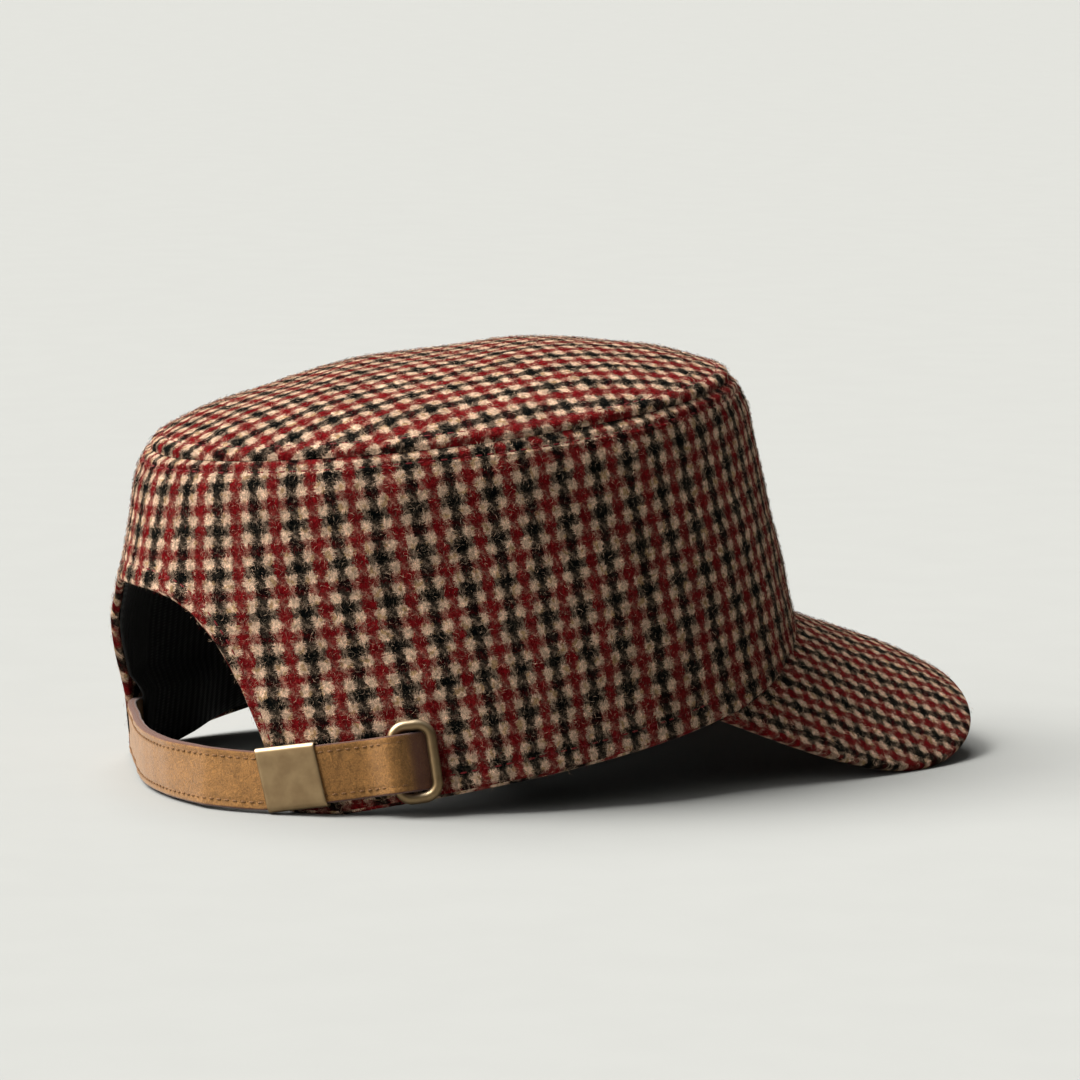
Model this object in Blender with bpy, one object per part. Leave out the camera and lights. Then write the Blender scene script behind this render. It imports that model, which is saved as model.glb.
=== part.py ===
"""Peaked pillbox cap of check tweed, with a suede strap across an arch at the back.

Metres, +Z up. The wearer looks along -Y, so the peak points to -Y and the wearer's right is -X.
Angles go round the crown from the centre of the back, and grow towards the wearer's right.
The cap stands on the lower edge of its back and on the two sides of its peak.
"""

import math

import bpy
from mathutils import Vector

# Room between pieces that touch
FIT_GAP = 0.0003

# Side band of the crown, measured on its outer face
FOOT_HALF_LENGTH = 0.105
FOOT_HALF_WIDTH = 0.0866
FOOT_DIAGONAL_EASE = 0.018
SEAM_HALF_LENGTH = 0.0819
SEAM_HALF_WIDTH = 0.0666
SEAM_DIAGONAL_EASE = 0.010
SEAM_BACK_SHIFT = 0.0051
SEAM_HEIGHT = 0.0985
SEAM_FALL_PER_METRE = 0.105
SHOULDER_DEPTH = 0.0085
SHOULDER_TURN = 0.0029
SHOULDER_POWER = 1.6
WALL_THICKNESS = 0.0020

# Arch at the back, and the lower edge that rises from there to the peak
ARCH_HEIGHT = 0.0544
ARCH_HALF_ANGLE = math.radians(42.9)
ARCH_POWER = 3.3
RISE_START_ANGLE = math.radians(52)
PEAK_END_ANGLE = math.radians(118)

# Domed top panel
DOME_HEIGHT = 0.0156
DOME_FULLNESS = 2.2
DOME_EDGE_POWER = 0.7
TOP_THICKNESS = 0.0020

# Lining
LINING_THICKNESS = 0.0010
LINING_SETBACK = 0.0008
LINING_ROOM_START = 0.8
LINING_FADE_ANGLE = math.radians(12)
LINING_FADE_HEIGHT = 0.016

# Peak
PEAK_REACH = 0.0380
PEAK_SQUARENESS = 2.94
PEAK_PITCH = math.radians(22.1)
PEAK_BEND_RADIUS = 0.0662
PEAK_CROWN = 0.0011
PEAK_THICKNESS = 0.0026
PEAK_SEAT_MARGIN = 0.0010

# Strap
STRAP_WIDTH = 0.0154
STRAP_THICKNESS = 0.0024
STRAP_CHAMFER = 0.0005
STRAP_BACK_LIFT = 0.0008
STRAP_RISE_START = 0.95
STRAP_RING_LIFT = 0.0063
STRAP_DIP = 0.0130
STRAP_SEWN_LENGTH = 0.0120
STRAP_TAIL_LENGTH = 0.0240
STRAP_DIVE_ANGLE = math.radians(60)
STRAP_WRAP_ROOM = 0.0005
SLOT_ROOM = 0.0005
STRAP_INNER_TURN = 0.0032

# Folded plate that holds the strap
BUCKLE_ANGLE = math.radians(44.2)
BUCKLE_LENGTH = 0.0164
BUCKLE_SHEET = 0.0006

# Loop that the strap's end is tucked through
RING_ANGLE = math.radians(63.4)
RING_WIRE = 0.0026
RING_INNER_LENGTH = 0.0078
RING_SIDE_ROOM = 0.0006
RING_CORNER_RADIUS = 0.0030

# Way of the strap through the open arch: place as a share of the arch's half angle,
# and how far it hangs inside the line of the band as a share of STRAP_DIP
STRAP_IN_ARCH = (
    {"place": -0.90, "dip": 0.27},
    {"place": -0.77, "dip": 0.56},
    {"place": -0.47, "dip": 0.98},
    {"place": -0.23, "dip": 0.96},
    {"place": 0.00, "dip": 0.84},
    {"place": 0.23, "dip": 0.54},
    {"place": 0.46, "dip": 0.14},
    {"place": 0.67, "dip": -0.11},
)

# Columns of faces in half the crown, from the back: over the arch, along the side, over the peak
BAND_COLUMNS = {"arch": 12, "side": 20, "front": 12}
LINING_COLUMNS = {"arch": 8, "side": 12, "front": 8}
ARCH_FOOT_CROWDING = 1.6
BAND_ROWS = 5
SHOULDER_ROWS = 3
LINING_ROWS = 4
DOME_RINGS = (1.0, 0.965, 0.90, 0.75, 0.50, 0.25)
LINING_DOME_RINGS = (0.93, 0.70, 0.35)
PEAK_COLUMNS = 40
PEAK_ROWS = 6
STEPS_BETWEEN_STATIONS = 4
BUCKLE_STEPS = 6
RING_CORNER_STEPS = 5
SHARP_EDGE_ANGLE = math.radians(35)


def clear_scene():
    for old in list(bpy.data.objects):
        bpy.data.objects.remove(old, do_unlink=True)


def material(name, colour, roughness, metallic=0.0):
    """Plain Principled material."""
    made = bpy.data.materials.new(name)
    made.use_nodes = True
    shader = made.node_tree.nodes["Principled BSDF"]
    shader.inputs["Base Color"].default_value = (*colour, 1.0)
    shader.inputs["Roughness"].default_value = roughness
    shader.inputs["Metallic"].default_value = metallic
    return made


def add_object(name, data, finish):
    data.materials.append(finish)
    made = bpy.data.objects.new(name, data)
    bpy.context.scene.collection.objects.link(made)
    return made


def mesh_object(name, points, faces, finish):
    """Object made of points and faces, shaded smooth except at its edges."""
    mesh = bpy.data.meshes.new(name)
    mesh.from_pydata([tuple(point) for point in points], [], faces)
    mesh.validate()
    mesh.shade_smooth()
    mesh.set_sharp_from_angle(angle=SHARP_EDGE_ANGLE)
    return add_object(name, mesh, finish)


def ring_faces(first, second, count, closed=True):
    """Quads between two rows of points that start at the indices first and second."""
    last = count if closed else count - 1
    faces = []
    for column in range(last):
        after = (column + 1) % count
        faces.append((first + column, first + after, second + after, second + column))
    return faces


def shell_object(name, outer_rows, inner_rows, finish, closed=True, domed=False):
    """Closed wall between two grids of points, row by row from the lower edge to the upper one.

    A domed wall ends in one point of each grid, given as a last row of one point.
    """
    count = len(outer_rows[0])
    points = []
    starts = {}
    for side, rows in (("outer", outer_rows), ("inner", inner_rows)):
        starts[side] = []
        for row in rows:
            starts[side].append(len(points))
            points.extend(row)
    faces = []
    for side in ("outer", "inner"):
        full_rows = starts[side][:-1] if domed else starts[side]
        for low, high in zip(full_rows, full_rows[1:]):
            quads = ring_faces(low, high, count, closed)
            faces += quads if side == "outer" else [quad[::-1] for quad in quads]
        if domed:
            rim, pole = full_rows[-1], starts[side][-1]
            for column in range(count):
                fan = (rim + column, rim + (column + 1) % count, pole)
                faces.append(fan if side == "outer" else fan[::-1])
    faces += ring_faces(starts["inner"][0], starts["outer"][0], count, closed)
    if not domed:
        faces += ring_faces(starts["outer"][-1], starts["inner"][-1], count, closed)
    if not closed:
        for outer, inner, outer_next, inner_next in zip(
            starts["outer"], starts["inner"], starts["outer"][1:], starts["inner"][1:]
        ):
            faces.append((outer, outer_next, inner_next, inner))
            end = count - 1
            faces.append((inner + end, inner_next + end, outer_next + end, outer + end))
    return mesh_object(name, points, faces, finish)


def oval(angle, half_length, half_width, ease):
    """Plan point of an oval whose diagonals are drawn in by the share ease."""
    reach = 1 - ease * math.sin(2 * angle) ** 2
    return -half_width * math.sin(angle) * reach, half_length * math.cos(angle) * reach


def seam_point(angle, inset, share=1.0):
    """Point in the plane of the seam, share of the way from its centre to its outline."""
    x, y = oval(
        angle, SEAM_HALF_LENGTH - inset, SEAM_HALF_WIDTH - inset, SEAM_DIAGONAL_EASE
    )
    y = y * share + SEAM_BACK_SHIFT
    return Vector((x * share, y, SEAM_HEIGHT - SEAM_FALL_PER_METRE * y))


def band_point(angle, height, inset=0.0):
    """Point of the band at a height above the floor, inset from its outer face."""
    top = seam_point(angle, inset).z
    share = height / top
    bend = max(0.0, 1 - (top - height) / SHOULDER_DEPTH) ** SHOULDER_POWER
    turn = SHOULDER_TURN * (share - bend)
    half_length = FOOT_HALF_LENGTH + (SEAM_HALF_LENGTH - FOOT_HALF_LENGTH) * share
    half_width = FOOT_HALF_WIDTH + (SEAM_HALF_WIDTH - FOOT_HALF_WIDTH) * share
    ease = FOOT_DIAGONAL_EASE + (SEAM_DIAGONAL_EASE - FOOT_DIAGONAL_EASE) * share
    x, y = oval(angle, half_length + turn - inset, half_width + turn - inset, ease)
    return Vector((x, y + SEAM_BACK_SHIFT * share, height))


def band_frame(angle, height):
    """Directions at a point of the band: forwards round it, up along it, and out of it."""
    step = 0.001
    around = band_point(angle + step, height) - band_point(angle - step, height)
    up = band_point(angle, height + step) - band_point(angle, height - step)
    around.normalize()
    up.normalize()
    return around, up, around.cross(up).normalized()


def peak_sheet(x, y):
    """Height of the peak's upper face, before the peak is set down on the floor.

    It falls forwards and to both sides, and swells most at two thirds of its reach.
    """
    ahead = max(0.0, -y - FOOT_HALF_LENGTH) / PEAK_REACH
    swell = PEAK_CROWN * 27 / 4 * ahead**2 * (1 - ahead)
    return math.tan(PEAK_PITCH) * (y + FOOT_HALF_LENGTH) - x * x / (2 * PEAK_BEND_RADIUS) + swell


def peak_normal(x, y):
    return Vector((x / PEAK_BEND_RADIUS, -math.tan(PEAK_PITCH), 1.0)).normalized()


def peak_edge(direction, corner):
    """Plan point of the peak's outer edge, in a direction from straight ahead to either side."""
    half_width = abs(corner.x)
    length = corner.y + FOOT_HALF_LENGTH + PEAK_REACH
    across = abs(math.sin(direction) / half_width) ** PEAK_SQUARENESS
    ahead = abs(math.cos(direction) / length) ** PEAK_SQUARENESS
    reach = (across + ahead) ** (-1 / PEAK_SQUARENESS)
    return -reach * math.sin(direction), corner.y - reach * math.cos(direction)


def peak_corner(front_height):
    """Where the peak's outer edge meets the band."""
    return seat_on_peak(PEAK_END_ANGLE, front_height, 0.0)


def seat_on_peak(angle, front_height, inset):
    """Point of the band that lies in the peak's upper face."""
    height = 0.02
    for _ in range(12):
        point = band_point(angle, height, inset)
        height = 0.5 * (height + front_height + peak_sheet(point.x, point.y))
    return band_point(angle, height, inset)


def peak_rows(front_height, corner):
    """Points of the peak's upper and lower face, from under the band to the outer edge."""
    seat_inset = WALL_THICKNESS + FIT_GAP + LINING_THICKNESS + PEAK_SEAT_MARGIN
    upper, lower = [], []
    for row in range(PEAK_ROWS + 1):
        share = row / PEAK_ROWS
        tops, bottoms = [], []
        for column in range(PEAK_COLUMNS + 1):
            side = 2 * column / PEAK_COLUMNS - 1
            angle = math.pi - side * (math.pi - PEAK_END_ANGLE)
            seat = seat_on_peak(angle, front_height, seat_inset)
            edge_x, edge_y = peak_edge(side * math.pi / 2, corner)
            x = seat.x + (edge_x - seat.x) * share
            y = seat.y + (edge_y - seat.y) * share
            top = Vector((x, y, front_height + peak_sheet(x, y)))
            tops.append(top)
            bottoms.append(top - peak_normal(x, y) * PEAK_THICKNESS)
        upper.append(tops)
        lower.append(bottoms)
    return upper, lower


def peak_front_height():
    """Height of the peak where it leaves the band, with its two sides just on the floor."""
    height = 0.035
    for _ in range(6):
        _, lower = peak_rows(height, peak_corner(height))
        height -= min(point.z for row in lower for point in row)
    return height


def lower_edge(angle, front_height, inset, setback):
    """Height of the lower edge of the band or of the lining."""
    turn = abs(angle)
    if turn <= ARCH_HALF_ANGLE:
        return ARCH_HEIGHT * (1 - (turn / ARCH_HALF_ANGLE) ** ARCH_POWER) + setback
    if turn < PEAK_END_ANGLE:
        end = seat_on_peak(PEAK_END_ANGLE, front_height, inset).z + FIT_GAP
        share = (turn - RISE_START_ANGLE) / (PEAK_END_ANGLE - RISE_START_ANGLE)
        return max(0.0, share) * end + setback
    return seat_on_peak(turn, front_height, inset).z + FIT_GAP


def crown_angles(columns):
    """Angles of the columns right round, closer together at the foot of the arch."""
    half = [
        ARCH_HALF_ANGLE * (1 - (1 - n / columns["arch"]) ** ARCH_FOOT_CROWDING)
        for n in range(columns["arch"])
    ]
    for start, end, count in (
        (ARCH_HALF_ANGLE, PEAK_END_ANGLE, columns["side"]),
        (PEAK_END_ANGLE, math.pi, columns["front"]),
    ):
        half += [start + (end - start) * n / count for n in range(count)]
    half.append(math.pi)
    return half + [-angle for angle in half[-2:0:-1]]


def fade(beyond, width):
    """One up to the edge of a zone, easing to nothing over the width beyond it."""
    share = min(1.0, max(0.0, beyond / width))
    return 1 - share * share * (3 - 2 * share)


def no_room(angle, height):
    return 0.0


def strap_room(angle, height):
    """How far the lining stands in where the strap's end is sewn between it and the band."""
    near = LINING_ROOM_START * ARCH_HALF_ANGLE
    sewn = STRAP_SEWN_LENGTH * angle_per_metre(-ARCH_HALF_ANGLE)
    far = ARCH_HALF_ANGLE + sewn + LINING_FADE_ANGLE / 2
    strap_top = STRAP_BACK_LIFT + STRAP_WIDTH + LINING_FADE_HEIGHT / 4
    sideways = fade(max(near + angle, -angle - far), LINING_FADE_ANGLE)
    upward = fade(height - strap_top, LINING_FADE_HEIGHT)
    return (STRAP_THICKNESS + 3 * FIT_GAP) * sideways * upward


def band_rows(angles, front_height, inset, setback, rows, shoulder_rows, room=no_room):
    """Rows of points of one face of the band, from its lower edge to the seam."""
    made = []
    for row in range(rows + shoulder_rows + 1):
        points = []
        for angle in angles:
            top = seam_point(angle, inset).z - FIT_GAP
            shoulder = top - SHOULDER_DEPTH
            low = lower_edge(angle, front_height, inset, setback)
            if row <= rows:
                height = low + (shoulder - low) * row / rows
            else:
                height = shoulder + SHOULDER_DEPTH * (row - rows) / shoulder_rows
            points.append(band_point(angle, height, inset + room(angle, height)))
        made.append(points)
    return made


def dome_rows(angles, rings, inset, depth):
    """Rows of points of the top panel, from its rim to its centre, depth below its outer face."""
    made = []
    for ring in rings:
        rise = (1 - ring**DOME_FULLNESS) ** DOME_EDGE_POWER * (DOME_HEIGHT - depth)
        made.append([seam_point(angle, inset, ring) + Vector((0, 0, rise)) for angle in angles])
    made.append([seam_point(0, inset, 0) + Vector((0, 0, DOME_HEIGHT - depth))])
    return made


def build_crown_wall(front_height, tweed):
    angles = crown_angles(BAND_COLUMNS)
    faces = [
        band_rows(angles, front_height, inset, 0.0, BAND_ROWS, SHOULDER_ROWS)
        for inset in (0.0, WALL_THICKNESS)
    ]
    return shell_object("crown_wall", *faces, tweed)


def build_crown_top(tweed):
    angles = crown_angles(BAND_COLUMNS)
    faces = [
        dome_rows(angles, DOME_RINGS, inset, depth)
        for inset, depth in ((0.0, 0.0), (WALL_THICKNESS, TOP_THICKNESS))
    ]
    return shell_object("crown_top", *faces, tweed, domed=True)


def build_lining(front_height, cloth):
    angles = crown_angles(LINING_COLUMNS)
    faces = []
    for layer in (0.0, LINING_THICKNESS):
        inset = WALL_THICKNESS + FIT_GAP + layer
        side = band_rows(
            angles, front_height, inset, LINING_SETBACK, LINING_ROWS, 1, strap_room
        )
        roof = dome_rows(
            angles, LINING_DOME_RINGS, inset, TOP_THICKNESS + FIT_GAP + layer
        )
        faces.append(side[:-1] + roof)
    return shell_object("lining", *faces, cloth, domed=True)


def build_peak(front_height, tweed):
    upper, lower = peak_rows(front_height, peak_corner(front_height))
    return shell_object("peak", upper, lower, tweed, closed=False)


def strap_lift(angle):
    """Height of the strap's middle line: level behind, then rising over the band to the ring."""
    start = ARCH_HALF_ANGLE * STRAP_RISE_START
    share = max(0.0, (angle - start) / (RING_ANGLE - start))
    low = STRAP_BACK_LIFT + (STRAP_RING_LIFT - STRAP_BACK_LIFT) * share
    return low + STRAP_WIDTH / 2


def route_point(angle, stand_off):
    """Point on the strap's way, stand_off outside the band."""
    height = strap_lift(angle)
    return band_point(angle, height) + band_frame(angle, height)[2] * stand_off


def arch_point(angle, dip):
    """Point on the strap's way through the arch, level with the band and dip inside its line."""
    height = strap_lift(angle)
    out = band_frame(angle, height)[2]
    return band_point(angle, height) - Vector((out.x, out.y, 0)) * dip


def route_frame(angle):
    """Directions where the strap lies on the band: along the strap, across it and out of it."""
    step = 0.01
    along = (route_point(angle + step, 0.0) - route_point(angle - step, 0.0)).normalized()
    out = band_frame(angle, strap_lift(angle))[2]
    out = (out - along * out.dot(along)).normalized()
    return along, out.cross(along), out


def angle_per_metre(angle):
    height = strap_lift(angle)
    step = 0.01
    return 2 * step / (band_point(angle + step, height) - band_point(angle - step, height)).length


def inside_stand_off():
    """Stand-off of the strap where it lies on the inside of the lining."""
    return -(WALL_THICKNESS + LINING_THICKNESS + 2 * FIT_GAP + STRAP_THICKNESS / 2)


def ring_bar_distance():
    """From the middle of the ring to the middle line of either of its long bars."""
    return (RING_INNER_LENGTH + RING_WIRE) / 2


def rear_bar():
    """Angle and stand-off of the middle line of the ring's bar that the strap goes over."""
    middle = route_point(RING_ANGLE, 0.0)
    along, _, out = route_frame(RING_ANGLE)
    angle = RING_ANGLE - ring_bar_distance() * angle_per_metre(RING_ANGLE)
    bar = middle + out * (FIT_GAP + RING_WIRE / 2) - along * ring_bar_distance()
    foot = route_point(angle, 0.0)
    return angle, (bar - foot).dot(band_frame(angle, foot.z)[2])


def strap_dive():
    """The strap's way over the ring's rear bar, through the band and along its inside.

    Each station is the distance ahead of that bar's middle line, and the stand-off.
    """
    wrap_radius = (RING_WIRE + STRAP_THICKNESS) / 2 + STRAP_WRAP_ROOM
    bar_stand_off = rear_bar()[1]
    stations = []
    for turned in (-0.5, 0.0, 0.5, 1.0):
        angle = STRAP_DIVE_ANGLE * turned
        ahead = wrap_radius * math.sin(angle)
        stations.append((ahead, bar_stand_off + wrap_radius * math.cos(angle)))
    start_ahead, start_off = stations[-1]
    turn_drop = STRAP_INNER_TURN * (1 - math.cos(STRAP_DIVE_ANGLE))
    drop = start_off - inside_stand_off() - turn_drop
    for share in (0.5, 1.0):
        ahead = start_ahead + drop / math.tan(STRAP_DIVE_ANGLE) * share
        stations.append((ahead, start_off - drop * share))
    centre_ahead = stations[-1][0] + STRAP_INNER_TURN * math.sin(STRAP_DIVE_ANGLE)
    half_turn = STRAP_DIVE_ANGLE / 2
    stations.append(
        (
            centre_ahead - STRAP_INNER_TURN * math.sin(half_turn),
            inside_stand_off() + STRAP_INNER_TURN * (1 - math.cos(half_turn)),
        )
    )
    stations.append((centre_ahead, inside_stand_off()))
    return stations


def strap_stations():
    """Points that the strap's middle line goes through, from its sewn end to its tucked end."""
    on_band = FIT_GAP + STRAP_THICKNESS / 2
    under_buckle = on_band + BUCKLE_SHEET + FIT_GAP
    sewn = STRAP_SEWN_LENGTH * angle_per_metre(-ARCH_HALF_ANGLE)
    behind_band = -(WALL_THICKNESS + FIT_GAP + STRAP_THICKNESS / 2)
    sewn_end = [route_point(-ARCH_HALF_ANGLE - sewn * share, behind_band) for share in (1.0, 0.5, 0.0)]
    in_arch = [arch_point(ARCH_HALF_ANGLE * row["place"], STRAP_DIP * row["dip"]) for row in STRAP_IN_ARCH]
    half_buckle = BUCKLE_LENGTH / 2 * angle_per_metre(BUCKLE_ANGLE)
    made = [(BUCKLE_ANGLE + half_buckle * share, under_buckle) for share in (-1.0, -0.35, 0.35, 1.0)]
    rate = angle_per_metre(RING_ANGLE)
    bar = rear_bar()[0]
    last = BUCKLE_ANGLE + half_buckle
    for share in (0.35, 0.65):
        made.append((last + (bar - last) * share, on_band))
    dive = strap_dive()
    made += [(bar + ahead * rate, stand_off) for ahead, stand_off in dive]
    inner_start = bar + dive[-1][0] * rate
    for share in (0.33, 0.66, 1.0):
        made.append((inner_start + STRAP_TAIL_LENGTH * rate * share, inside_stand_off()))
    return sewn_end + in_arch + [route_point(angle, stand_off) for angle, stand_off in made]


def smooth_line(stations):
    """Catmull-Rom line through the stations."""
    ends = [2 * stations[0] - stations[1]] + stations + [2 * stations[-1] - stations[-2]]
    line = []
    for before, start, end, after in zip(ends, ends[1:], ends[2:], ends[3:]):
        length = (end - start).length
        leave = (end - before).normalized() * length
        arrive = (after - start).normalized() * length
        for step in range(STEPS_BETWEEN_STATIONS):
            t = step / STEPS_BETWEEN_STATIONS
            line.append(
                start * (2 * t**3 - 3 * t**2 + 1)
                + leave * (t**3 - 2 * t**2 + t)
                + end * (3 * t**2 - 2 * t**3)
                + arrive * (t**3 - t**2)
            )
    line.append(stations[-1])
    return line


def strap_frames(line):
    """At each point of the line: the point, the strap's width direction and its outward one."""
    frames = []
    for index, point in enumerate(line):
        along = line[min(index + 1, len(line) - 1)] - line[max(index - 1, 0)]
        along.normalize()
        angle = math.atan2(-point.x / FOOT_HALF_WIDTH, point.y / FOOT_HALF_LENGTH)
        up = route_frame(angle)[1]
        across = (up - along * up.dot(along)).normalized()
        frames.append((point, across, along.cross(across).normalized()))
    return frames


def strip_loop(frame, half_width, half_thickness, chamfer):
    """Eight points round a flat strip, at one frame of its line."""
    point, across, out = frame
    corners = (
        (half_width - chamfer, half_thickness),
        (half_width, half_thickness - chamfer),
        (half_width, chamfer - half_thickness),
        (half_width - chamfer, -half_thickness),
        (chamfer - half_width, -half_thickness),
        (-half_width, chamfer - half_thickness),
        (-half_width, half_thickness - chamfer),
        (chamfer - half_width, half_thickness),
    )
    return [point + across * wide + out * thick for wide, thick in corners]


def build_strap(frames, suede):
    loops = [
        strip_loop(frame, STRAP_WIDTH / 2, STRAP_THICKNESS / 2, STRAP_CHAMFER)
        for frame in reversed(frames)
    ]
    count = len(loops[0])
    points = [point for loop in loops for point in loop]
    faces = [tuple(range(count))[::-1]]
    for index in range(len(loops) - 1):
        faces += ring_faces(index * count, (index + 1) * count, count)
    faces.append(tuple(range(len(points) - count, len(points))))
    return mesh_object("strap", points, faces, suede)


def build_buckle(frames, brass):
    """Sleeve folded round the strap."""
    middle = route_point(BUCKLE_ANGLE, 0.0)
    near = min(range(len(frames)), key=lambda index: (frames[index][0] - middle).length)
    reach = BUCKLE_LENGTH / 2
    sleeve = []
    for step in range(BUCKLE_STEPS + 1):
        wanted = reach - 2 * reach * step / BUCKLE_STEPS
        sleeve.append(frame_at_distance(frames, near, wanted))
    inner_width = STRAP_WIDTH / 2 + FIT_GAP
    inner_thickness = STRAP_THICKNESS / 2 + FIT_GAP
    outer_rows = [
        strip_loop(
            frame,
            inner_width + BUCKLE_SHEET,
            inner_thickness + BUCKLE_SHEET,
            STRAP_CHAMFER + BUCKLE_SHEET / 2,
        )
        for frame in sleeve
    ]
    inner_rows = [
        strip_loop(frame, inner_width, inner_thickness, STRAP_CHAMFER) for frame in sleeve
    ]
    return shell_object("slide_buckle", outer_rows, inner_rows, brass)


def frame_at_distance(frames, start, distance):
    """Frame at a distance along the strap from the frame with the index start."""
    step = 1 if distance >= 0 else -1
    left = abs(distance)
    index = start
    while 0 <= index + step < len(frames):
        here, there = frames[index], frames[index + step]
        length = (there[0] - here[0]).length
        if left <= length:
            share = left / length
            return tuple(here[part].lerp(there[part], share) for part in range(3))
        left -= length
        index += step
    return frames[index]


def build_ring(brass):
    """Oblong loop of wire that lies on the band."""
    along, up, out = route_frame(RING_ANGLE)
    centre = route_point(RING_ANGLE, 0.0) + out * (FIT_GAP + RING_WIRE / 2)
    half_length = ring_bar_distance()
    half_height = (STRAP_WIDTH + RING_WIRE) / 2 + RING_SIDE_ROOM
    curve = bpy.data.curves.new("tuck_ring", "CURVE")
    curve.dimensions = "3D"
    curve.bevel_depth = RING_WIRE / 2
    curve.bevel_resolution = 3
    spline = curve.splines.new("POLY")
    places = []
    for quarter, (side, end) in enumerate(((1, 1), (-1, 1), (-1, -1), (1, -1))):
        for step in range(RING_CORNER_STEPS + 1):
            turn = math.pi / 2 * (quarter + step / RING_CORNER_STEPS)
            x = side * (half_length - RING_CORNER_RADIUS) + RING_CORNER_RADIUS * math.cos(turn)
            y = end * (half_height - RING_CORNER_RADIUS) + RING_CORNER_RADIUS * math.sin(turn)
            places.append((x, y))
    spline.points.add(len(places) - 1)
    for point, (x, y) in zip(spline.points, places):
        point.co = (*(centre + along * x + up * y), 1.0)
    spline.use_cyclic_u = True
    return add_object("tuck_ring", curve, brass)


def cut_slot(pieces):
    """Slot through the band and the lining, where the strap goes in behind the ring."""
    middle = route_point(RING_ANGLE, 0.0)
    along, up, out = route_frame(RING_ANGLE)
    dive = strap_dive()
    wrap_end, wrap_stand_off = dive[3]
    half_strap = STRAP_THICKNESS / 2
    to_face = wrap_stand_off - half_strap * math.cos(STRAP_DIVE_ANGLE)
    at_face = wrap_end + to_face / math.tan(STRAP_DIVE_ANGLE) - half_strap * math.sin(STRAP_DIVE_ANGLE)
    rear = at_face - SLOT_ROOM - ring_bar_distance()
    front = dive[-1][0] + SLOT_ROOM - ring_bar_distance()
    depth = WALL_THICKNESS + LINING_THICKNESS + 4 * FIT_GAP + SHOULDER_TURN
    half_height = STRAP_WIDTH / 2 + SLOT_ROOM
    points = []
    for ahead in (rear, front):
        for side in (-half_height, half_height):
            for stand_off in (-depth, depth / 2):
                points.append(middle + along * ahead + up * side + out * stand_off)
    faces = [(0, 1, 3, 2), (4, 6, 7, 5), (0, 4, 5, 1), (2, 3, 7, 6), (0, 2, 6, 4), (1, 5, 7, 3)]
    mesh = bpy.data.meshes.new("slot_cutter")
    mesh.from_pydata([tuple(point) for point in points], [], faces)
    cutter = bpy.data.objects.new("slot_cutter", mesh)
    cutter.hide_render = True
    cutter.display_type = "WIRE"
    bpy.context.scene.collection.objects.link(cutter)
    for piece in pieces:
        cut = piece.modifiers.new("strap_slot", "BOOLEAN")
        cut.operation = "DIFFERENCE"
        cut.object = cutter
    return cutter


def set_on_origin(pieces):
    """Parents the pieces to one empty, with the middle of the cap's box over the origin."""
    lengths = [vertex.co.y for piece in pieces if piece.type == "MESH" for vertex in piece.data.vertices]
    widths = [vertex.co.x for piece in pieces if piece.type == "MESH" for vertex in piece.data.vertices]
    cap = bpy.data.objects.new("cap", None)
    bpy.context.scene.collection.objects.link(cap)
    cap.location = (-(min(widths) + max(widths)) / 2, -(min(lengths) + max(lengths)) / 2, 0)
    for piece in pieces:
        piece.parent = cap


def main():
    clear_scene()
    tweed = material("check_tweed", (0.28, 0.10, 0.08), 0.95)
    black = material("black_lining", (0.012, 0.011, 0.011), 0.9)
    suede = material("tan_suede", (0.45, 0.26, 0.11), 0.9)
    brass = material("antique_brass", (0.42, 0.33, 0.18), 0.35, 1.0)
    front_height = peak_front_height()
    wall = build_crown_wall(front_height, tweed)
    top = build_crown_top(tweed)
    lining = build_lining(front_height, black)
    peak = build_peak(front_height, tweed)
    frames = strap_frames(smooth_line(strap_stations()))
    strap = build_strap(frames, suede)
    buckle = build_buckle(frames, brass)
    ring = build_ring(brass)
    cutter = cut_slot([wall, lining])
    set_on_origin([wall, top, lining, peak, strap, buckle, ring, cutter])


main()
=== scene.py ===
"""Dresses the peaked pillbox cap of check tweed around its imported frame.

Metres, +Z up, peak towards -Y. Angles go round the crown from the centre of the back, and grow
towards the wearer's right. The shape rules are those of the CAD source. A few sizes of the strap,
the loop and the lining are eased, and the cloth is softened.
"""

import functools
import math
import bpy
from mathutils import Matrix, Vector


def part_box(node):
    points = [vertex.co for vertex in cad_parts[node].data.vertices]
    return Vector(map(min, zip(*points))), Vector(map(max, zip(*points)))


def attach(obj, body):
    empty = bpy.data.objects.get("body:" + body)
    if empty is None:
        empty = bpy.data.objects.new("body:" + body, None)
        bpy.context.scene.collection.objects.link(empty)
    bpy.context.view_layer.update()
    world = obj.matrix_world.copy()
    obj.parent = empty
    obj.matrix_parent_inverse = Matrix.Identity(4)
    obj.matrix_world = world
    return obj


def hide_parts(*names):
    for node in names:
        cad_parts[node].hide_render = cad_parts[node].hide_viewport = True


bl_info = {
    "name": "Tweed pillbox cap",
    "version": (1, 0, 0),
    "blender": (4, 5, 0),
    "location": "View3D > Sidebar > Tweed Cap",
    "description": "Makes the tweed, lining, suede strap and brass fittings of a peaked pillbox cap",
    "category": "Add Mesh",
}

import bpy
import numpy as np
from mathutils import Matrix, Vector

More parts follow.
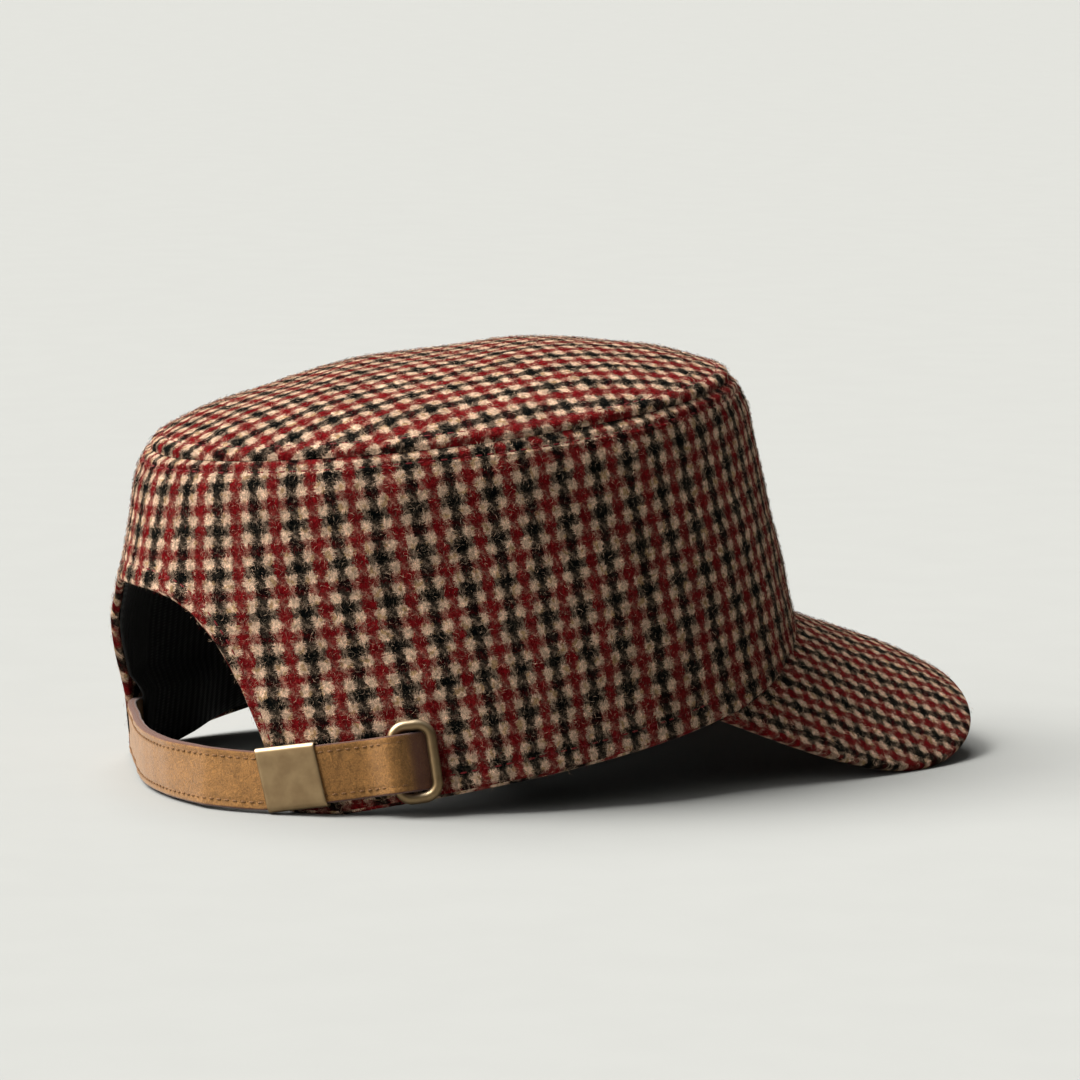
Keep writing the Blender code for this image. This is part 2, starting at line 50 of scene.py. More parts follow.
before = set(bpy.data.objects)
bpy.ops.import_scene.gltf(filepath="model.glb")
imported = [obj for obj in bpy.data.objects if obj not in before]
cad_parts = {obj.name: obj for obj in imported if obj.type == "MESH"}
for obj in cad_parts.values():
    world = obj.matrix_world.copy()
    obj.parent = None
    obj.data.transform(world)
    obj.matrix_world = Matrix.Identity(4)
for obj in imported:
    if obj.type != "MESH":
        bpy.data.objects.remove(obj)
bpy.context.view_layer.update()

# Room between pieces that touch, and the distance under which two points are one
FIT_GAP = 0.0003
SAME_POINT = 0.00001

# Side band of the crown
FOOT_HALF_LENGTH = 0.105
FOOT_HALF_WIDTH = 0.0866
FOOT_DIAGONAL_EASE = 0.018
SEAM_HALF_LENGTH = 0.0819
SEAM_HALF_WIDTH = 0.0666
SEAM_DIAGONAL_EASE = 0.010
SEAM_BACK_SHIFT = 0.0051
SEAM_HEIGHT = 0.0985
SEAM_FALL_PER_METRE = 0.105
SHOULDER_DEPTH = 0.0085
SHOULDER_TURN = 0.0029
SHOULDER_POWER = 1.6
WALL_THICKNESS = 0.0020

# Arch and lower edge
ARCH_HEIGHT = 0.0544
ARCH_HALF_ANGLE = math.radians(42.9)
ARCH_POWER = 3.3
ARCH_FOOT_ROUNDING = 0.0016
RISE_START_ANGLE = math.radians(52)
PEAK_END_ANGLE = math.radians(118)

# Top panel
DOME_HEIGHT = 0.0156
DOME_FULLNESS = 2.2
DOME_EDGE_POWER = 0.7
TOP_THICKNESS = 0.0020

# Lining
LINING_THICKNESS = 0.0010
LINING_SETBACK = 0.0008
LINING_ROOM_START = 0.8
LINING_FADE_ANGLE = math.radians(12)
LINING_FADE_HEIGHT = 0.006
LINING_RIB_PITCH = 0.0026

# Peak
PEAK_REACH = 0.0380
PEAK_SQUARENESS = 2.94
PEAK_PITCH = math.radians(22.1)
PEAK_BEND_RADIUS = 0.0662
PEAK_CROWN = 0.0011
PEAK_THICKNESS = 0.0026
PEAK_SEAT_MARGIN = 0.0010
PEAK_FULLNESS = 0.0017
PEAK_FULLNESS_END = (0.25, 0.95)
PEAK_CAD_COLUMNS = 40
PEAK_CAD_ROWS = 6
FRONT_FIRST_HEIGHT = 0.035
FRONT_ROUNDS = 6
SEAT_FIRST_HEIGHT = 0.02
SEAT_ROUNDS = 12

# Strap
STRAP_WIDTH = 0.0154
STRAP_THICKNESS = 0.0024
STRAP_BACK_LIFT = 0.0008
STRAP_RISE_START = 0.95
STRAP_RING_LIFT = 0.0063
STRAP_DIP = 0.0130
STRAP_SEWN_LENGTH = 0.0120
STRAP_TAIL_LENGTH = 0.0240
STRAP_DIVE_ANGLE = math.radians(36)
STRAP_WRAP_ROOM = 0.0005
STRAP_INNER_TURN = 0.0032
STRAP_EASING = 160
STRAP_EASING_STEP = 0.25
STRAP_WRAP_SHARES = (-0.5, 0.0, 0.5, 1.0)
STRAP_PLATE_SHARES = (-1.0, -0.35, 0.35, 1.0)
STRAP_BEFORE_BAR = (0.35, 0.65)
STRAP_TAIL_SHARES = (0.33, 0.66, 1.0)
STRAP_PLATE_EASE = 2.2
STRAP_LEAN = 0.24
STRAP_LEAN_START = (-1.0, -0.75)
STRAP_LEAN_END = (0.35, 0.8)
STRAP_SOFT_EDGE = 0.0006
STRAP_SPLIT = 0.00022
STRAP_STITCH_INSET = 0.0020
STRAP_GROOVE_DEPTH = 0.00016
STRAP_GROOVE_REACH = 0.0005
STRAP_CUT_EDGE = (0.0009, 0.0001)
# Distances past the loop's rear bar over which the strap darkens with wear and painted shade
STRAP_WEAR_AND_SHADE_REACH = (0.0028, 0.0062)
STRAP_IN_ARCH = (
    (-0.90, 0.27),
    (-0.77, 0.56),
    (-0.47, 0.98),
    (-0.23, 0.96),
    (0.00, 0.84),
    (0.23, 0.54),
    (0.46, 0.14),
    (0.67, -0.11),
)

# Plate and loop
BUCKLE_ANGLE = math.radians(44.2)
BUCKLE_LENGTH = 0.0164
BUCKLE_SHEET = 0.0006
BUCKLE_CORNER_RADIUS = 0.0008
BUCKLE_RIM = 0.001
BUCKLE_ROWS = 14
BUCKLE_ROLL_ROWS = 4
BUCKLE_CORNER_POINTS = 6
RING_ANGLE = math.radians(63.4)
RING_WIRE = 0.0026
RING_WIRE_FULLNESS = 1.1
RING_WIRE_SIDES = 18
RING_INNER_LENGTH = 0.0078
RING_SIDE_ROOM = 0.0006
RING_CORNER_RADIUS = 0.0038
RING_CORNER_POINTS = 9
RECTANGLE_SIDE_POINTS = 8
PLATE_SKEW = 0.13

# Crown seam, deeper at the wearer's right side, and the allowance under the cloth beside it
SEAM_DIP = 0.0005
SEAM_DIP_REACH = 0.0009
SEAM_SIDE_DIP = 0.0002
SEAM_SIDE_REACH = 0.0007
SEAM_SIDE_ANGLE = math.radians(95)
SEAM_SIDE_SPREAD = math.radians(38)
SEAM_BLEND = 0.0024
SEAM_TOUCH = 0.00002
ALLOWANCE_RISE = 0.0004
ALLOWANCE_START = (0.0004, 0.0017)
ALLOWANCE_END = (0.0040, 0.0046)

# Stitches and the grooves that they pull into the cloth
TOPSTITCH_DROP = 0.0043
BAND_STITCH_DROP = 0.0031
HEM_STITCH_RISE = 0.0055
GROOVE_DEPTH = 0.00045
TOP_GROOVE_DEPTH = 0.0002
HEM_GROOVE_SHARE = 0.8
GROOVE_REACH = 0.0006
STITCH_SHARE = 0.74
STITCH_RADIUS = 0.00024
STITCH_RISE = 0.0001
STITCH_END_DIP = 0.35
STITCH_END_THICKNESS = 0.55
STITCH_RINGS = 5
STITCH_SIDES = 6
STRAP_STITCH_SHARE = 0.72
STRAP_STITCH_START = 0.003
STRAP_STITCH_PAST_BAR = 0.001
STRAP_STITCH_SINK = 0.0001
STRAP_STITCH_RADIUS = 0.00026
STRAP_STITCH_RISE = 0.0002

# Unevenness of the finished pieces, as the size, length and seed of each layer of waves
BAND_WAVES = ((0.00042, 0.062, 11), (0.00014, 0.021, 12))
TOP_WAVES = ((0.0005, 0.055, 21), (0.00018, 0.018, 22))
PEAK_WAVES = ((0.00012, 0.030, 31),)
STRAP_WAVES = ((0.00010, 0.012, 41),)
TOP_SINK = 0.0005

# Where that unevenness grows from nothing: from the seam, the peak and the rim
BAND_CALM = (0.0, 0.010)
PEAK_SEAT_CALM = (0.001, 0.008)
PEAK_SEAT_TURN = 0.15
TOP_CALM = (0.001, 0.014)
PEAK_RIM_CALM = (0.001, 0.008)

# Fold of the hem, and the place where the strap holds the band flat
HEM_FOLD_RISE = 0.0003
HEM_FOLD = (0.0052, 0.0068)
STRAP_ZONE_START = (math.radians(34), math.radians(40))
STRAP_ZONE_END = (math.radians(68), math.radians(76))
STRAP_ZONE_TOP = (0.027, 0.036)
STRAP_ZONE_CALM = 0.9

# Soft swellings of the band and hollows in it: size, angle and its reach, height and its reach
FAR_FLARE = (0.0026, math.radians(-36), math.radians(13), 0.040, 0.014)
FAR_HOLLOW = (0.0012, math.radians(-30), math.radians(24), 0.067, 0.012)
SEWN_END_HOLLOW = (0.0006, math.radians(-46), math.radians(9), 0.010, 0.012)

# Rows and columns of the meshes
BAND_COLUMNS = 520
BAND_ROWS = 50
BAND_INNER_ROWS = 14
TOP_COLUMNS = 360
TOP_ROWS = 44
TOP_INNER_ROWS = 16
TOP_POLE_RING = 0.012
PEAK_COLUMNS = 220
PEAK_ROWS = 44
PEAK_LOWER_ROWS = 16
PEAK_EDGE_ROWS = 9
PEAK_SIDE_CROWDING = 0.35
LINING_COLUMNS = 300
LINING_ROWS = 26
LINING_ROOF_RINGS = (0.93, 0.02, 20)
STRAP_FACE_POINTS = 34
SEAM_ROLL_ROWS = 5
BAND_ROLL_BULGE = 0.3
TOP_ROLL_BULGE = 0.2
HEM_ROLL_ROWS = 7

# Rows close to the hem and the crown seam: heights, and runs from one distance to another
HEM_ROWS = (0.0, 0.0006, 0.0014, 0.0024, 0.0034, 0.0041, 0.0047, 0.0052, 0.0058, 0.0068)
SEAM_ROWS = ((0.0062, 0.0026, 11), (0.0024, 0.0, 11))
TOP_SEAM_ROWS = ((SEAM_TOUCH, 0.0024, 11), (0.0027, 0.0062, 12))

# Points in the tables of distances along curves
TABLE_POINTS = 4001
STITCH_LINE_POINTS = 6001
EDGE_POINTS = 8001

BAND_HAIR_REACH = 0.108
BAND_HAIR_MARGIN = 0.0006
BAND_HAIR_SPREAD = 0.9
NEAR_HAIR_ANGLES = (math.radians(-48), math.radians(146))
TOP_HAIR_AREA = (0.0, 0.998)
PEAK_HAIR_SIDES = (-0.995, 0.995)
PEAK_HAIR_SHARES = (0.05, 0.985)

# Shape and shades of loose hairs, with pairs for the least and the most
HAIR_LENGTHS = (0.45, 1.75)
HAIR_CURL = (-0.45, 0.45)
HAIR_TIP_CURL = (-0.30, 0.30)
HAIR_LIFT = (0.02, 0.38)
HAIR_LIFT_POWER = 1.2
HAIR_TIP_LIFT = (0.1, 1.2)
HAIR_WIDTHS = (0.7, 1.3)
HAIR_BEND = 0.6
HAIR_REACH = 0.95
HAIR_STAND_OFF = 0.00004
HAIR_ROOT_DEPTH = 0.0001
HAIR_SHADES = (0.4, 1.3)
PALE_HAIR_SHARE = 0.20
PALE_HAIR_SHADES = (0.20, 1.0)

# Share of its cell of the bake map that each hair fills, and the margin before it
BAKE_FILL = 0.8
BAKE_MARGIN = 0.1

# Weave of the check tweed
STRIPES = 4
YARNS_IN_STRIPE = 4
YARNS_IN_CHECK = STRIPES * YARNS_IN_STRIPE
STRIPE_SWELL = 0.55
STRIPE_SQUEEZE = 0.42
COLUMN_LEAN = 0.17
COLUMN_LEAN_START = (0.0, math.radians(42))
COLUMN_LEAN_END = (math.radians(62), math.radians(102))
ROW_RISE = 0.07
ROW_BEND = 0.01
PEAK_WEAVE_SCALE = 0.85
WEAVE_DRIFT = 3.0
FRAY_STREAKS = ((0.35, 2.4, 1.0), (2.4, 0.35, 1.0))
FRAY_REACH = 4.4
LOOSE_FRAY_REACH = 7.5
CROSS_YARN_SHOW = 0.65
NECK_SHOW = 0.66
LEAST_SHOW = 0.03

# Camera, in the directions right, up and back from the cap's foot
CAMERA_AZIMUTH = math.radians(65.235)
CAMERA_ELEVATION = math.radians(7.1121)
CAMERA_DISTANCE = 1.785
CAMERA_RIGHT = 0.022239
CAMERA_UP = 0.062002
CAMERA_LOWER = 0.000735
CAMERA_LENS = 216.0
CAMERA_SENSOR = 36.0
CAMERA_NEAREST = 0.05
CAMERA_FARTHEST = 100.0

# Directions of the lights, seen from the camera: to its right, up and towards it
KEY_DIRECTION = (-0.75, 0.86, 0.0)
TOP_DIRECTION = (-0.20, 0.80, -0.40)
SIDE_DIRECTION = (-0.85, 0.45, 0.60)
LIGHT_TINT = (1.0, 0.985, 0.955)

# Backdrop, which changes from its lower brightness to its upper one over an edge, and floor
BACKDROP_TINT = (1.0, 0.995, 0.955)
BACKDROP_EDGE = (0.02, 0.06)
FLOOR_FIRST_RING = 0.05
FLOOR_COLUMNS = 96
FLOOR_RINGS = 24

SHIFT_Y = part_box("peak")[0].y + FOOT_HALF_LENGTH + PEAK_REACH


# Shape of the crown

def stacked(x, y, z):
    return np.stack(np.broadcast_arrays(x, y, z), axis=-1).astype(float)


def unit(vectors):
    return vectors / np.maximum(np.linalg.norm(vectors, axis=-1, keepdims=True), 1e-12)


def dot(first, second):
    return np.sum(first * second, axis=-1, keepdims=True)


def smooth_step(value, start, end):
    share = np.clip((value - start) / (end - start), 0.0, 1.0)
    return share * share * (3 - 2 * share)


def bell(value, centre, reach):
    return np.exp(-(((value - centre) / reach) ** 2))


def run_along(points):
    """Distance from the first row of points to each of the rows."""
    steps = np.linalg.norm(np.diff(points, axis=0), axis=-1)
    return np.concatenate([np.zeros_like(steps[:1]), np.cumsum(steps, axis=0)])


def oval(angle, half_length, half_width, ease):
    reach = 1 - ease * np.sin(2 * angle) ** 2
    return -half_width * np.sin(angle) * reach, half_length * np.cos(angle) * reach


def seam_point(angle, inset=0.0, share=1.0):
    x, y = oval(angle, SEAM_HALF_LENGTH - inset, SEAM_HALF_WIDTH - inset, SEAM_DIAGONAL_EASE)
    y = y * share + SEAM_BACK_SHIFT
    return stacked(x * share, y, SEAM_HEIGHT - SEAM_FALL_PER_METRE * y)


def seam_height(angle, inset=0.0):
    return seam_point(angle, inset)[..., 2]


def band_point(angle, height, inset=0.0):
    """Point of the band at a height, inset from its outer face."""
    top = seam_height(angle, inset)
    share = height / top
    bend = np.clip(1 - (top - height) / SHOULDER_DEPTH, 0.0, None) ** SHOULDER_POWER
    turn = SHOULDER_TURN * (share - bend)
    half_length = FOOT_HALF_LENGTH + (SEAM_HALF_LENGTH - FOOT_HALF_LENGTH) * share
    half_width = FOOT_HALF_WIDTH + (SEAM_HALF_WIDTH - FOOT_HALF_WIDTH) * share
    ease = FOOT_DIAGONAL_EASE + (SEAM_DIAGONAL_EASE - FOOT_DIAGONAL_EASE) * share
    x, y = oval(angle, half_length + turn - inset, half_width + turn - inset, ease)
    return stacked(x, y + SEAM_BACK_SHIFT * share, height)


def band_frame(angle, height):
    """Directions at a point of the band: round it, up along it and out of it."""
    step = 0.001
    around = unit(band_point(angle + step, height) - band_point(angle - step, height))
    up = unit(band_point(angle, height + step) - band_point(angle, height - step))
    return around, up, unit(np.cross(around, up))


def peak_sheet(x, y):
    ahead = np.maximum(0.0, -y - FOOT_HALF_LENGTH) / PEAK_REACH
    swell = PEAK_CROWN * 27 / 4 * ahead**2 * (1 - ahead)
    return math.tan(PEAK_PITCH) * (y + FOOT_HALF_LENGTH) - x * x / (2 * PEAK_BEND_RADIUS) + swell


def peak_normal(x, y):
    return unit(stacked(x / PEAK_BEND_RADIUS, -math.tan(PEAK_PITCH), 1.0))


def seat_on_peak(angle, front, inset):
    """Point of the band that lies in the peak's upper face."""
    height = np.full(np.shape(angle), SEAT_FIRST_HEIGHT)
    for _ in range(SEAT_ROUNDS):
        point = band_point(angle, height, inset)
        height = 0.5 * (height + front + peak_sheet(point[..., 0], point[..., 1]))
    return band_point(angle, height, inset)


def peak_edge(direction, corner):
    """Plan point of the peak's outer edge, in a direction from straight ahead to either side."""
    half_width = abs(corner[0])
    length = corner[1] + FOOT_HALF_LENGTH + PEAK_REACH
    across = np.abs(np.sin(direction) / half_width) ** PEAK_SQUARENESS
    ahead = np.abs(np.cos(direction) / length) ** PEAK_SQUARENESS
    reach = (across + ahead) ** (-1 / PEAK_SQUARENESS)
    return -reach * np.sin(direction), corner[1] - reach * np.cos(direction)


def peak_plan(side, share, front, inset=0.0):
    """Plan point of the peak, share of the way from under the band to its outer edge."""
    corner = seat_on_peak(np.float64(PEAK_END_ANGLE), front, 0.0)
    angle = math.pi - side * (math.pi - PEAK_END_ANGLE)
    seat_inset = WALL_THICKNESS + FIT_GAP + LINING_THICKNESS + PEAK_SEAT_MARGIN
    seat = seat_on_peak(angle, front, seat_inset)
    edge_x, edge_y = peak_edge(side * math.pi / 2, corner)
    away_x, away_y = edge_x - seat[..., 0], edge_y - seat[..., 1]
    length = np.hypot(away_x, away_y)
    share = share * (1 - inset / length)
    return seat[..., 0] + away_x * share, seat[..., 1] + away_y * share


@functools.cache
def front_height():
    """Height of the peak where it leaves the band, with its two sides just on the floor."""
    side, share = np.meshgrid(
        np.linspace(-1, 1, PEAK_CAD_COLUMNS + 1), np.linspace(0, 1, PEAK_CAD_ROWS + 1)
    )
    height = FRONT_FIRST_HEIGHT
    for _ in range(FRONT_ROUNDS):
        x, y = peak_plan(side, share, height)
        lower = height + peak_sheet(x, y) - peak_normal(x, y)[..., 2] * PEAK_THICKNESS
        height -= lower.min()
    return float(height)


def lower_edge(angle, inset=0.0, setback=0.0):
    """Height of the lower edge of the band or of the lining."""
    turn = np.abs(angle)
    front = front_height()
    arch = ARCH_HEIGHT * (1 - (turn / ARCH_HALF_ANGLE) ** ARCH_POWER)
    end = seat_on_peak(np.float64(PEAK_END_ANGLE), front, inset)[2] + FIT_GAP
    share = np.clip((turn - RISE_START_ANGLE) / (PEAK_END_ANGLE - RISE_START_ANGLE), 0.0, 1.0)
    seat = seat_on_peak(np.maximum(turn, PEAK_END_ANGLE), front, inset)[..., 2] + FIT_GAP
    base = np.where(turn < PEAK_END_ANGLE, share * end, seat)
    apart = np.sqrt((arch - base) ** 2 + ARCH_FOOT_ROUNDING**2)
    return 0.5 * (arch + base + apart) + setback


def dome_point(angle, ring, inset=0.0, depth=0.0):
    """Point of the top panel, ring of the way out from its centre, depth below its outer face."""
    ring = np.asarray(ring, dtype=float)
    rise = np.clip(1 - ring**DOME_FULLNESS, 0.0, None) ** DOME_EDGE_POWER * (DOME_HEIGHT - depth)
    point = seam_point(angle, inset, ring)
    return point + stacked(0.0, 0.0, rise)


def waves(points, length, seed, count=14):
    """Soft unevenness between about -1 and 1, with humps about the given length apart."""
    picks = np.random.default_rng(seed)
    total = np.zeros(points.shape[:-1])
    for _ in range(count):
        direction = picks.normal(size=3)
        direction *= 2 * math.pi / length * picks.uniform(0.6, 1.4) / np.linalg.norm(direction)
        total += np.sin(points @ direction + picks.uniform(0, 2 * math.pi))
    return total / math.sqrt(count)


def unevenness(points, layers):
    return sum(size * waves(points, length, seed) for size, length, seed in layers)


# Finished cloth surfaces, with their seams and soft unevenness

def seam_relief(angle, distance, stitch_drop, groove_depth):
    """Height of the cloth beside the crown seam, by the distance from it."""
    plateau = smooth_step(distance, *ALLOWANCE_START) * (1 - smooth_step(distance, *ALLOWANCE_END))
    groove = groove_depth * bell(distance, stitch_drop, GROOVE_REACH)
    side = bell(angle, SEAM_SIDE_ANGLE, SEAM_SIDE_SPREAD)
    dip_reach = SEAM_DIP_REACH + SEAM_SIDE_REACH * side
    dip = (SEAM_DIP + SEAM_SIDE_DIP * side) * bell(distance, 0.0, dip_reach)
    return ALLOWANCE_RISE * plateau - dip - groove


@functools.cache
def round_table():
    """Angles round the crown, and the distance round the band from the centre of the back."""
    angles = np.linspace(-math.pi, math.pi, TABLE_POINTS)
    lengths = run_along(band_point(angles, SEAM_HEIGHT / 2))
    return angles, lengths - lengths[-1] / 2


def strap_zone(angle, height):
    """One where the strap and its fittings lie on the band, easing to nothing beside them."""
    sideways = smooth_step(angle, *STRAP_ZONE_START) * (1 - smooth_step(angle, *STRAP_ZONE_END))
    return sideways * (1 - smooth_step(height, *STRAP_ZONE_TOP))


def swelling(angle, height, place):
    """Soft rise of the cloth round one place of the band."""
    size, middle, angle_reach, level, height_reach = place
    return size * bell(angle, middle, angle_reach) * bell(height, level, height_reach)


def side_flare(angle, height):
    """How far the band and its lining bell out beside the far foot of the arch, less the dip above."""
    return swelling(angle, height, FAR_FLARE) - swelling(angle, height, FAR_HOLLOW)


def band_relief(angle, height):
    """How far the finished outer face of the band stands out of its plain shape."""
    below_seam = seam_height(angle) - height
    above_edge = height - lower_edge(angle)
    strapped = strap_zone(angle, height)
    on_peak = smooth_step(np.abs(angle), PEAK_END_ANGLE - PEAK_SEAT_TURN, PEAK_END_ANGLE)
    soft = unevenness(band_point(angle, height), BAND_WAVES) * smooth_step(below_seam, *BAND_CALM)
    soft = soft * (1 - STRAP_ZONE_CALM * strapped)
    soft = soft * (1 - on_peak * (1 - smooth_step(above_edge, *PEAK_SEAT_CALM)))
    hem = HEM_FOLD_RISE * (1 - smooth_step(above_edge, *HEM_FOLD))
    hem -= GROOVE_DEPTH * HEM_GROOVE_SHARE * bell(above_edge, HEM_STITCH_RISE, GROOVE_REACH)
    hem = hem * (1 - on_peak) * (1 - strapped)
    shape = side_flare(angle, height) - swelling(angle, height, SEWN_END_HOLLOW)
    return soft + hem + shape + seam_relief(angle, below_seam, BAND_STITCH_DROP, GROOVE_DEPTH)


def seam_out(angle):
    """Outward direction that the band and the top panel share along the seam between them."""
    return unit(band_frame(angle, seam_height(angle))[2] + dome_out(angle, 1.0))


def eased_out(out, angle, distance):
    """Outward direction of the cloth, turned to the shared one close to the seam."""
    beside = 1 - smooth_step(distance, 0.0, SEAM_BLEND)
    return unit(out + (seam_out(angle) - out) * beside[..., None])


def band_surface(angle, height):
    """Point and outward direction of the finished outer face of the band."""
    out = eased_out(band_frame(angle, height)[2], angle, seam_height(angle) - height)
    return band_point(angle, height) + out * band_relief(angle, height)[..., None], out


@functools.cache
def dome_table():
    """Shares of the way out from the centre, and the distance from the rim along the dome."""
    rings = np.linspace(0, 1, TABLE_POINTS)
    from_centre = run_along(dome_point(np.float64(math.pi / 2), rings))
    return rings, from_centre[-1] - from_centre


def ring_at(distance):
    rings, distances = dome_table()
    return np.interp(distance, distances[::-1], rings[::-1])


def rim_distance(ring):
    rings, distances = dome_table()
    return np.interp(ring, rings, distances)


def dome_out(angle, ring):
    """Outward direction of the top panel."""
    step = 0.002
    ring = np.clip(ring, 0.01, 1 - step)
    outward = unit(dome_point(angle, ring + step) - dome_point(angle, ring - step))
    around = unit(dome_point(angle + step, ring) - dome_point(angle - step, ring))
    return unit(np.cross(around, -outward))


def dome_surface(angle, ring):
    """Point and outward direction of the finished top panel."""
    distance = rim_distance(ring)
    out = eased_out(dome_out(angle, ring), angle, distance)
    point = dome_point(angle, ring)
    soft = (unevenness(point, TOP_WAVES) - TOP_SINK) * smooth_step(distance, *TOP_CALM)
    relief = soft + seam_relief(angle, distance, TOPSTITCH_DROP, TOP_GROOVE_DEPTH)
    return point + out * relief[..., None], out


# Way of the strap

def strap_lift(angle):
    """Height of the strap's middle line over the foot of the band."""
    start = ARCH_HALF_ANGLE * STRAP_RISE_START
    share = max(0.0, (angle - start) / (RING_ANGLE - start))
    low = STRAP_BACK_LIFT + (STRAP_RING_LIFT - STRAP_BACK_LIFT) * share
    return low + STRAP_WIDTH / 2


def route_point(angle, stand_off):
    """Point of the strap's way, at a distance from the band's outer face."""
    height = strap_lift(angle)
    return band_point(angle, height) + band_frame(angle, height)[2] * stand_off


def arch_point(angle, dip):
    """Point of the strap's way across the arch, dipping level from the band's outer face."""
    height = strap_lift(angle)
    out = band_frame(angle, height)[2]
    return band_point(angle, height) - np.array([out[0], out[1], 0.0]) * dip


def route_frame(angle):
    """Directions where the strap lies on the band: along it, across it and out of it."""
    step = 0.01
    along = unit(route_point(angle + step, 0.0) - route_point(angle - step, 0.0))
    out = band_frame(angle, strap_lift(angle))[2]
    out = unit(out - along * dot(out, along))
    return along, np.cross(out, along), out


def angle_per_metre(angle):
    height = strap_lift(angle)
    step = 0.01
    across = band_point(angle + step, height) - band_point(angle - step, height)
    return 2 * step / np.linalg.norm(across)


def inside_stand_off():
    """Stand-off of the strap's tucked end, which lies inside the lining."""
    return -(WALL_THICKNESS + LINING_THICKNESS + 2 * FIT_GAP + STRAP_THICKNESS / 2)


def ring_bar_distance():
    return (RING_INNER_LENGTH + RING_WIRE) / 2


def rear_bar():
    """Angle and stand-off of the middle line of the bar that the strap goes over."""
    middle = route_point(RING_ANGLE, 0.0)
    along, _, out = route_frame(RING_ANGLE)
    angle = RING_ANGLE - ring_bar_distance() * angle_per_metre(RING_ANGLE)
    bar = middle + out * (FIT_GAP + RING_WIRE / 2) - along * ring_bar_distance()
    foot = route_point(angle, 0.0)
    return angle, float(np.dot(bar - foot, band_frame(angle, foot[2])[2]))


def strap_dive():
    """The strap's way over the rear bar, through the band and along its inside."""
    wrap_radius = (RING_WIRE + STRAP_THICKNESS) / 2 + STRAP_WRAP_ROOM
    bar_stand_off = rear_bar()[1]
    stations = []
    for turned in STRAP_WRAP_SHARES:
        angle = STRAP_DIVE_ANGLE * turned
        ahead = wrap_radius * math.sin(angle)
        stations.append((ahead, bar_stand_off + wrap_radius * math.cos(angle)))
    start_ahead, start_off = stations[-1]
    turn_drop = STRAP_INNER_TURN * (1 - math.cos(STRAP_DIVE_ANGLE))
    drop = start_off - inside_stand_off() - turn_drop
    for share in (0.5, 1.0):
        ahead = start_ahead + drop / math.tan(STRAP_DIVE_ANGLE) * share
        stations.append((ahead, start_off - drop * share))
    centre_ahead = stations[-1][0] + STRAP_INNER_TURN * math.sin(STRAP_DIVE_ANGLE)
    half_turn = STRAP_DIVE_ANGLE / 2
    inner_ahead = centre_ahead - STRAP_INNER_TURN * math.sin(half_turn)
    stations.append((inner_ahead, inside_stand_off() + STRAP_INNER_TURN * (1 - math.cos(half_turn))))
    stations.append((centre_ahead, inside_stand_off()))
    return stations


def strap_stations():
    """Points that the strap's middle line goes through, from its sewn end to its tucked end."""
    on_band = FIT_GAP + STRAP_THICKNESS / 2
    under_buckle = on_band + BUCKLE_SHEET + FIT_GAP
    sewn = STRAP_SEWN_LENGTH * angle_per_metre(-ARCH_HALF_ANGLE)
    behind_band = -(WALL_THICKNESS + FIT_GAP + STRAP_THICKNESS / 2)
    line = [route_point(-ARCH_HALF_ANGLE - sewn * share, behind_band) for share in (1.0, 0.5, 0.0)]
    line += [arch_point(ARCH_HALF_ANGLE * place, STRAP_DIP * dip) for place, dip in STRAP_IN_ARCH]
    half_buckle = BUCKLE_LENGTH / 2 * angle_per_metre(BUCKLE_ANGLE)
    middle, flat = route_point(BUCKLE_ANGLE, under_buckle), route_frame(BUCKLE_ANGLE)[0]
    line += [middle + flat * BUCKLE_LENGTH / 2 * share for share in STRAP_PLATE_SHARES]
    rate = angle_per_metre(RING_ANGLE)
    bar = rear_bar()[0]
    last = BUCKLE_ANGLE + half_buckle
    made = [(last + (bar - last) * share, on_band) for share in STRAP_BEFORE_BAR]
    dive = strap_dive()
    made += [(bar + ahead * rate, stand_off) for ahead, stand_off in dive]
    inner_start = bar + dive[-1][0] * rate
    made += [
        (inner_start + STRAP_TAIL_LENGTH * rate * share, inside_stand_off())
        for share in STRAP_TAIL_SHARES
    ]
    return line + [route_point(angle, stand_off) for angle, stand_off in made]


